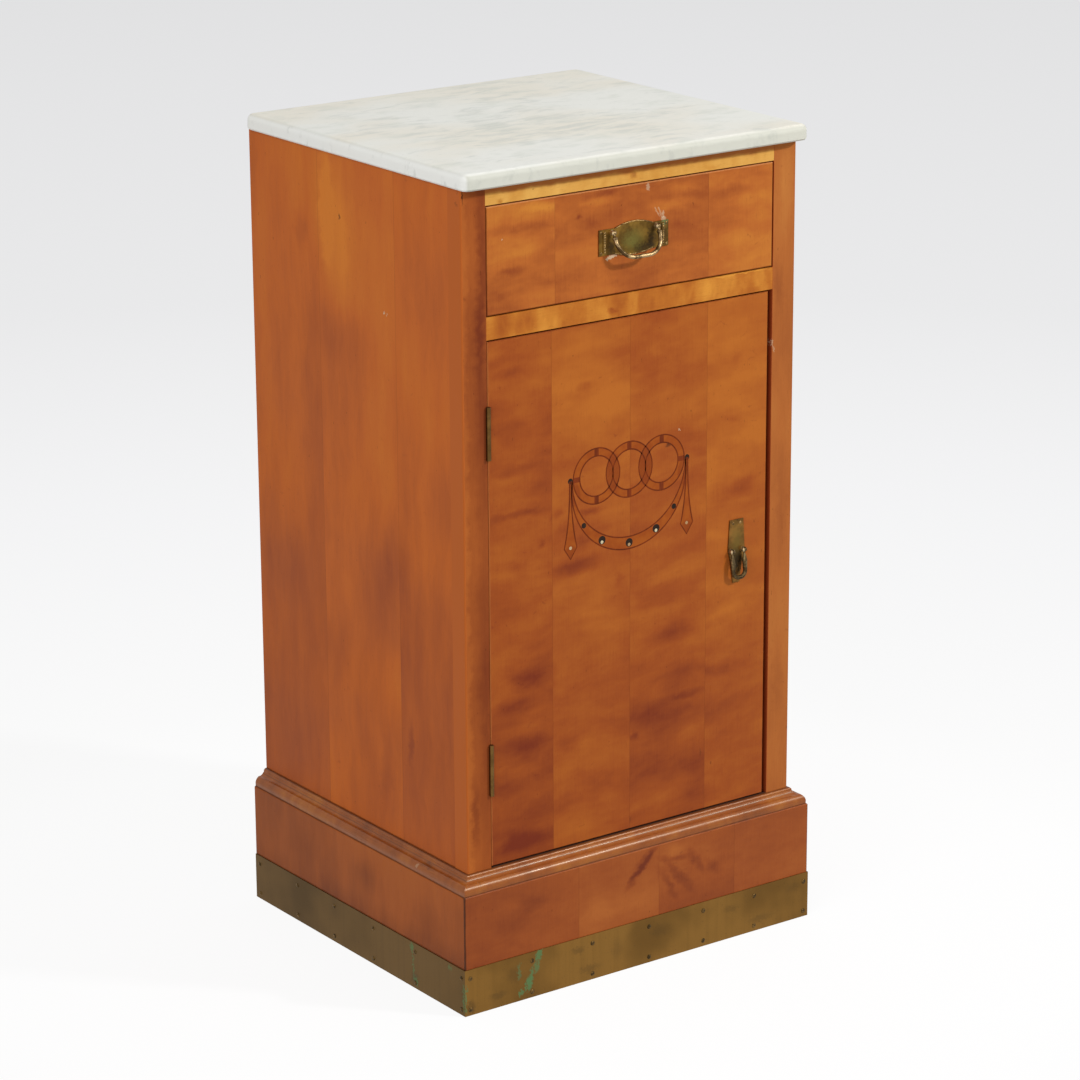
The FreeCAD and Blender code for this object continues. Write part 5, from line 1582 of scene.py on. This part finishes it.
@dataclass
class Pull(Assembly):
    """A backplate with nails, posts and beads, on the drawer or on the door.

    Sizes are in millimetres. Nails and beads have their places across and up the plate.
    """

    plate: str = ""
    nails_node: str = ""
    posts: str = ""
    plate_brass: Brass = Brass("plate_brass")
    plate_y: float = -168.0
    nails: tuple[tuple[float, float], ...] = ()
    nail_radius: float = 1.55
    nail_rise: float = 0.95
    beads: tuple[tuple[float, float], ...] = ()
    bead_y: float = -168.6
    bead_radius: float = 1.15
    bead_rise: float = 0.6
    arches: tuple[tuple[float, float, float], ...] = ()
    arch_half: float = 21.6
    arch_y: float = -168.05
    arch_thick: float = 0.5
    arch_steps: int = 16

    def build(self) -> None:
        """Drive the nails and strike the beads."""
        bright = Brass(f"{self.plate}_nail_brass", clean=(160, 130, 82), tarnish=(96, 72, 40),
                       share=0.45, rough=0.48, grain=300.0).make()
        jig = DomeJig(bright, sides=12, rings=3).build()
        front = Vector((0, -1, 0))
        spots = [Vector((x, self.plate_y, z)) * MM for x, z in self.nails]
        heads = jig.run(f"{self.plate}_dome_nails",
                        point_mesh("pull_nail_places", spots, [front] * len(spots)),
                        {"Radius": self.nail_radius * MM, "Rise": self.nail_rise * MM})
        self.mount(heads, "pull_brass", self.nails_node)
        if self.beads:
            spots = [Vector((x, self.bead_y, z)) * MM for x, z in self.beads]
            row = jig.run(f"{self.plate}_beads",
                          point_mesh("bead_places", spots, [front] * len(spots)),
                          {"Radius": self.bead_radius * MM, "Rise": self.bead_rise * MM})
            self.mount(row, "pull_brass")
        if self.arches:
            rim = BeadingJig(bright).build().run(
                f"{self.plate}_rim", path_mesh("rim_paths", self._arch_paths()),
                {"Radius": self.arch_thick * MM})
            self.mount(rim, "pull_brass")

    def _arch_paths(self) -> list[tuple[list[Vector], bool]]:
        """Work out where the raised rims run.

        Each arch gives the height of an arc's middle, its radius and whether it lies above or
        below that middle.

        Returns:
            Each rim as its points, and whether it closes on itself.
        """
        paths = []
        for middle_z, radius, sense in self.arches:
            reach = math.asin(self.arch_half / radius)
            turns = [reach * step / self.arch_steps
                     for step in range(-self.arch_steps, self.arch_steps + 1)]
            rim = [Vector((radius * math.sin(a), self.arch_y,
                           middle_z + sense * radius * math.cos(a))) * MM for a in turns]
            paths.append((rim, False))
        return paths

    def finish(self) -> None:
        """Dress plate and posts."""
        self.dress(self.plate_brass.make(), self.plate)
        self.dress(Brass(f"{self.posts}_brass", clean=(188, 166, 128), tarnish=(112, 90, 56),
                         share=0.35, rough=0.52, grain=200.0).make(), self.posts)


@dataclass
class DrawerPull(Pull):
    """The drawer's pull: four nails, two rows of beads and two raised rims."""

    plate: str = "drawer_pull_plate"
    nails_node: str = "drawer_pull_nails"
    posts: str = "drawer_pull_posts"
    plate_brass: Brass = Brass(
        "drawer_plate_brass", clean=(142, 108, 48), tarnish=(100, 74, 34), share=0.5, rough=0.42,
        grain=60.0, cast=(122, 112, 56),
        cast_at=(Patch(0, 708, 15, 12, 0.75), Patch(-4, 704, 8, 8, 0.3)),
        green=(Patch(36.5, 721.5, 4.5, 3.5, 0.6),),
        # Painted shadow: the dark patches beside the two posts and on the plate's lower right stand
        # for the shadow of posts and bail; the patch at the right end is tarnish.
        dark=(Patch(12, 700, 15, 5, 0.65), Patch(20, 708, 5, 12, 0.7), Patch(-25, 703, 4, 13, 0.6),
              Patch(37, 712, 5, 12, 0.35)))
    nails: tuple[tuple[float, float], ...] = tuple(
        (x, 710 + z) for x in (-37.1, 37.1) for z in (-9.6, 9.6))
    beads: tuple[tuple[float, float], ...] = tuple(
        (x, 710 - 8.8 + 2.2 * step) for x in (-33.4, 33.4) for step in range(9))
    arches: tuple[tuple[float, float, float], ...] = (
        (670.47, 55.4, 1.0), (777.17, 81.5, -1.0))


@dataclass
class DoorPull(Pull):
    """The door's pull: a tapering plate with two nails."""

    plate: str = "door_pull_plate"
    nails_node: str = "door_pull_nails"
    posts: str = "door_pull_posts"
    plate_brass: Brass = Brass(
        "door_plate_brass", clean=(146, 104, 50), tarnish=(110, 78, 38), share=0.5, rough=0.42,
        grain=60.0, cast=(118, 100, 48), cast_at=(Patch(123, 395, 8, 26, 0.6),),
        # Painted shadow: the first dark patch is the bail's shadow on the lower plate, inside its
        # loop.
        dark=(Patch(122.5, 379, 9.0, 15, 0.95), Patch(117.2, 418.4, 1.6, 1.6, 0.6),
              Patch(125.4, 418.6, 1.6, 1.6, 0.6)))
    nails: tuple[tuple[float, float], ...] = ((118.9, 417.0), (127.3, 417.0))


@dataclass
class Bail(Assembly):
    """The swinging bail of the drawer's pull."""

    clean: Colour = (170, 144, 104)
    tarnish: Colour = (80, 62, 38)
    dark: tuple[Patch, ...] = ()

    def finish(self) -> None:
        """Dress the bail in metal that hands keep bright."""
        self.dress(Brass(f"{self.body}_brass", clean=self.clean, tarnish=self.tarnish,
                         share=0.5, rough=0.5, grain=130.0, dark=self.dark).make(), self.body)


@dataclass
class DoorBail(Bail):
    """The smaller and darker bail of the door's pull, with painted shade on its left arm and lower
    bend.
    """

    clean: Colour = (140, 118, 80)
    tarnish: Colour = (72, 56, 34)
    # Painted shade on the left arm, which faces away from the key light, and on the lower bend.
    dark: tuple[Patch, ...] = (Patch(115.9, 378, 3.4, 17, 0.75), Patch(122, 364, 7, 3.5, 0.6))


# ------------------------------------------------------------------ studio


@dataclass
class Studio:
    """A pale floor, an even sky, a key light from the upper right front and the camera.

    Lengths are in metres and angles in degrees.
    """

    sky: float = 0.46
    backdrop: float = 0.785
    key: float = 0.60
    key_from: Number3 = (0.57, -0.67, 0.48)
    key_far: float = 3.2
    key_wide: float = 0.26
    fill: float = 0.44
    fill_from: Number3 = (-0.85, -0.45, 0.35)
    fill_wide: float = 2.4
    aim: Number3 = (0.0, -0.17, 0.74)
    floor_half: float = 40.0
    floor_glow: Stops = (
        (0.0, (255, 255, 255)), (0.055, (253, 253, 253)), (0.07, (251, 251, 251)),
        (0.15, (245, 245, 246)), (0.26, (235, 235, 236)), (0.56, (228, 228, 229)),
        (1.0, (223, 223, 224)))
    glow_to: float = 10.0
    glow_level: float = 0.90
    floor_grey: tuple[float, float, float, float] = (0.12, 0.12, 0.12, 1.0)
    bounce_grey: tuple[float, float, float, float] = (0.47, 0.47, 0.47, 1.0)
    eye: Number3 = (-2.0900, -2.9175, 1.4900)
    azimuth: float = 35.80
    elevation: float = 17.17
    roll: float = -0.31
    focal_px: float = 3884.0
    image_px: float = 1080.0
    sensor: float = 36.0
    farthest: float = 200.0

    @staticmethod
    def _seen(bench: Bench) -> Wire:
        """Find the rays by which the backdrop is looked at, straight, in gloss or through glass.

        Args:
            bench: The tree that asks.

        Returns:
            One for those rays, nought for the light that the backdrop sheds.
        """
        path = bench.node("ShaderNodeLightPath", out="Is Camera Ray")
        outputs = path.socket.node.outputs
        glossy = Wire(bench, outputs["Is Glossy Ray"])
        through = Wire(bench, outputs["Is Transmission Ray"])
        return bench.node("ShaderNodeMath", {"operation": "ADD", "use_clamp": True},
                          {0: path + glossy, 1: through})

    def lay_floor(self) -> None:
        """Lay the floor, white by the object and greyer far away.

        A ray that only carries its light meets a plain grey instead.
        """
        half = self.floor_half
        mesh = bpy.data.meshes.new("studio_floor")
        mesh.from_pydata([(-half, -half, 0), (half, -half, 0), (half, half, 0), (-half, half, 0)],
                         [], [(0, 1, 2, 3)])
        floor = bpy.data.objects.new("studio_floor", mesh)
        bpy.context.scene.collection.objects.link(floor)
        coat = Coat("studio_floor")
        far = coat.vector("LENGTH", coat.place, out="Value")
        glow = coat.node("ShaderNodeValToRGB", {"stops": self.floor_glow},
                         {0: far * (1 / self.glow_to)})
        light = coat.node("ShaderNodeEmission", None,
                          {"Color": glow, "Strength": self.glow_level})
        matt = coat.node("ShaderNodeBsdfDiffuse", None, {"Color": self.floor_grey})
        shown = coat.node("ShaderNodeAddShader", None, {0: light, 1: matt})
        plain = coat.node("ShaderNodeBsdfDiffuse", None, {"Color": self.bounce_grey})
        both = coat.node("ShaderNodeMixShader", None, {0: self._seen(coat), 1: plain, 2: shown})
        coat.node("ShaderNodeOutputMaterial", None, {"Surface": both})
        mesh.materials.append(coat.material)
        log.info("laid %s", floor.name)

    def light_sky(self) -> None:
        """Light everything evenly from all round."""
        world = bpy.data.worlds.new("studio_sky")
        world.use_nodes = True
        bpy.context.scene.world = world
        bench = Bench(world.node_tree)
        world.node_tree.nodes.clear()
        level = self._seen(bench) * (self.backdrop - self.sky) + self.sky
        sky = bench.node("ShaderNodeBackground", None,
                         {"Color": (1.0, 1.0, 1.0, 1.0), "Strength": level})
        bench.node("ShaderNodeOutputWorld", None, {"Surface": sky})

    def hang_lamp(self, name: str, way: Number3, far: float, wide: float, level: float) -> None:
        """Hang a square lamp that lights a facing surface to a given level.

        Args:
            name: The lamp's name.
            way: The way from the object to the lamp.
            far: Its distance, in metres.
            wide: Its side, in metres.
            level: Brightness of a white surface that faces it.
        """
        lamp = bpy.data.lights.new(name, "AREA")
        lamp.shape = "SQUARE"
        lamp.size = wide
        lamp.energy = level * math.pi * math.pi * far * far
        holder = bpy.data.objects.new(name, lamp)
        bpy.context.scene.collection.objects.link(holder)
        toward = Vector(way).normalized()
        holder.location = toward * far + Vector(self.aim)
        holder.rotation_euler = toward.to_track_quat("Z", "Y").to_euler()
        log.info("hung %s", name)

    def set_camera(self) -> None:
        """Stand the camera where the object was seen from."""
        az, el, roll = (math.radians(a) for a in (self.azimuth, self.elevation, self.roll))
        ahead = Vector((math.sin(az) * math.cos(el), math.cos(az) * math.cos(el), -math.sin(el)))
        right = Vector((math.cos(az), -math.sin(az), 0.0))
        up = right.cross(ahead)
        tilted_right = math.cos(roll) * right + math.sin(roll) * up
        tilted_up = -math.sin(roll) * right + math.cos(roll) * up
        data = bpy.data.cameras.new("camera")
        data.sensor_width = self.sensor
        data.lens = self.focal_px / self.image_px * self.sensor
        data.clip_end = self.farthest
        camera = bpy.data.objects.new("camera", data)
        bpy.context.scene.collection.objects.link(camera)
        turn = Matrix((tilted_right, tilted_up, -ahead)).transposed().to_4x4()
        camera.matrix_world = Matrix.Translation(Vector(self.eye)) @ turn
        bpy.context.scene.camera = camera

    def build(self) -> None:
        """Set up the whole studio."""
        bpy.context.scene.view_settings.view_transform = "Standard"
        self.lay_floor()
        self.light_sky()
        self.hang_lamp("key_lamp", self.key_from, self.key_far, self.key_wide, self.key)
        self.hang_lamp("fill_lamp", self.fill_from, self.key_far, self.fill_wide, self.fill)
        self.set_camera()


def main() -> None:
    """Dress the cupboard, add its fine work and light it."""
    logging.basicConfig(level=logging.INFO, format="%(name)s: %(message)s")
    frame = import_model()
    nodes = frame["nodes"]
    carcase = Carcase(nodes, "carcase")
    carcase.finish()
    plinth = Plinth(nodes, "carcase")
    plinth.build()
    plinth.finish()
    drawer = Drawer(nodes, "drawer")
    drawer.finish()
    door = Door(nodes, "door")
    door.build()
    door.finish()
    Hinges(nodes, "carcase").finish(door)
    for pull in (DrawerPull(nodes, "drawer"), DoorPull(nodes, "door")):
        pull.build()
        pull.finish()
    Bail(nodes, "drawer_bail").finish()
    DoorBail(nodes, "door_bail").finish()
    Studio().build()


if __name__ == "__main__":
    main()
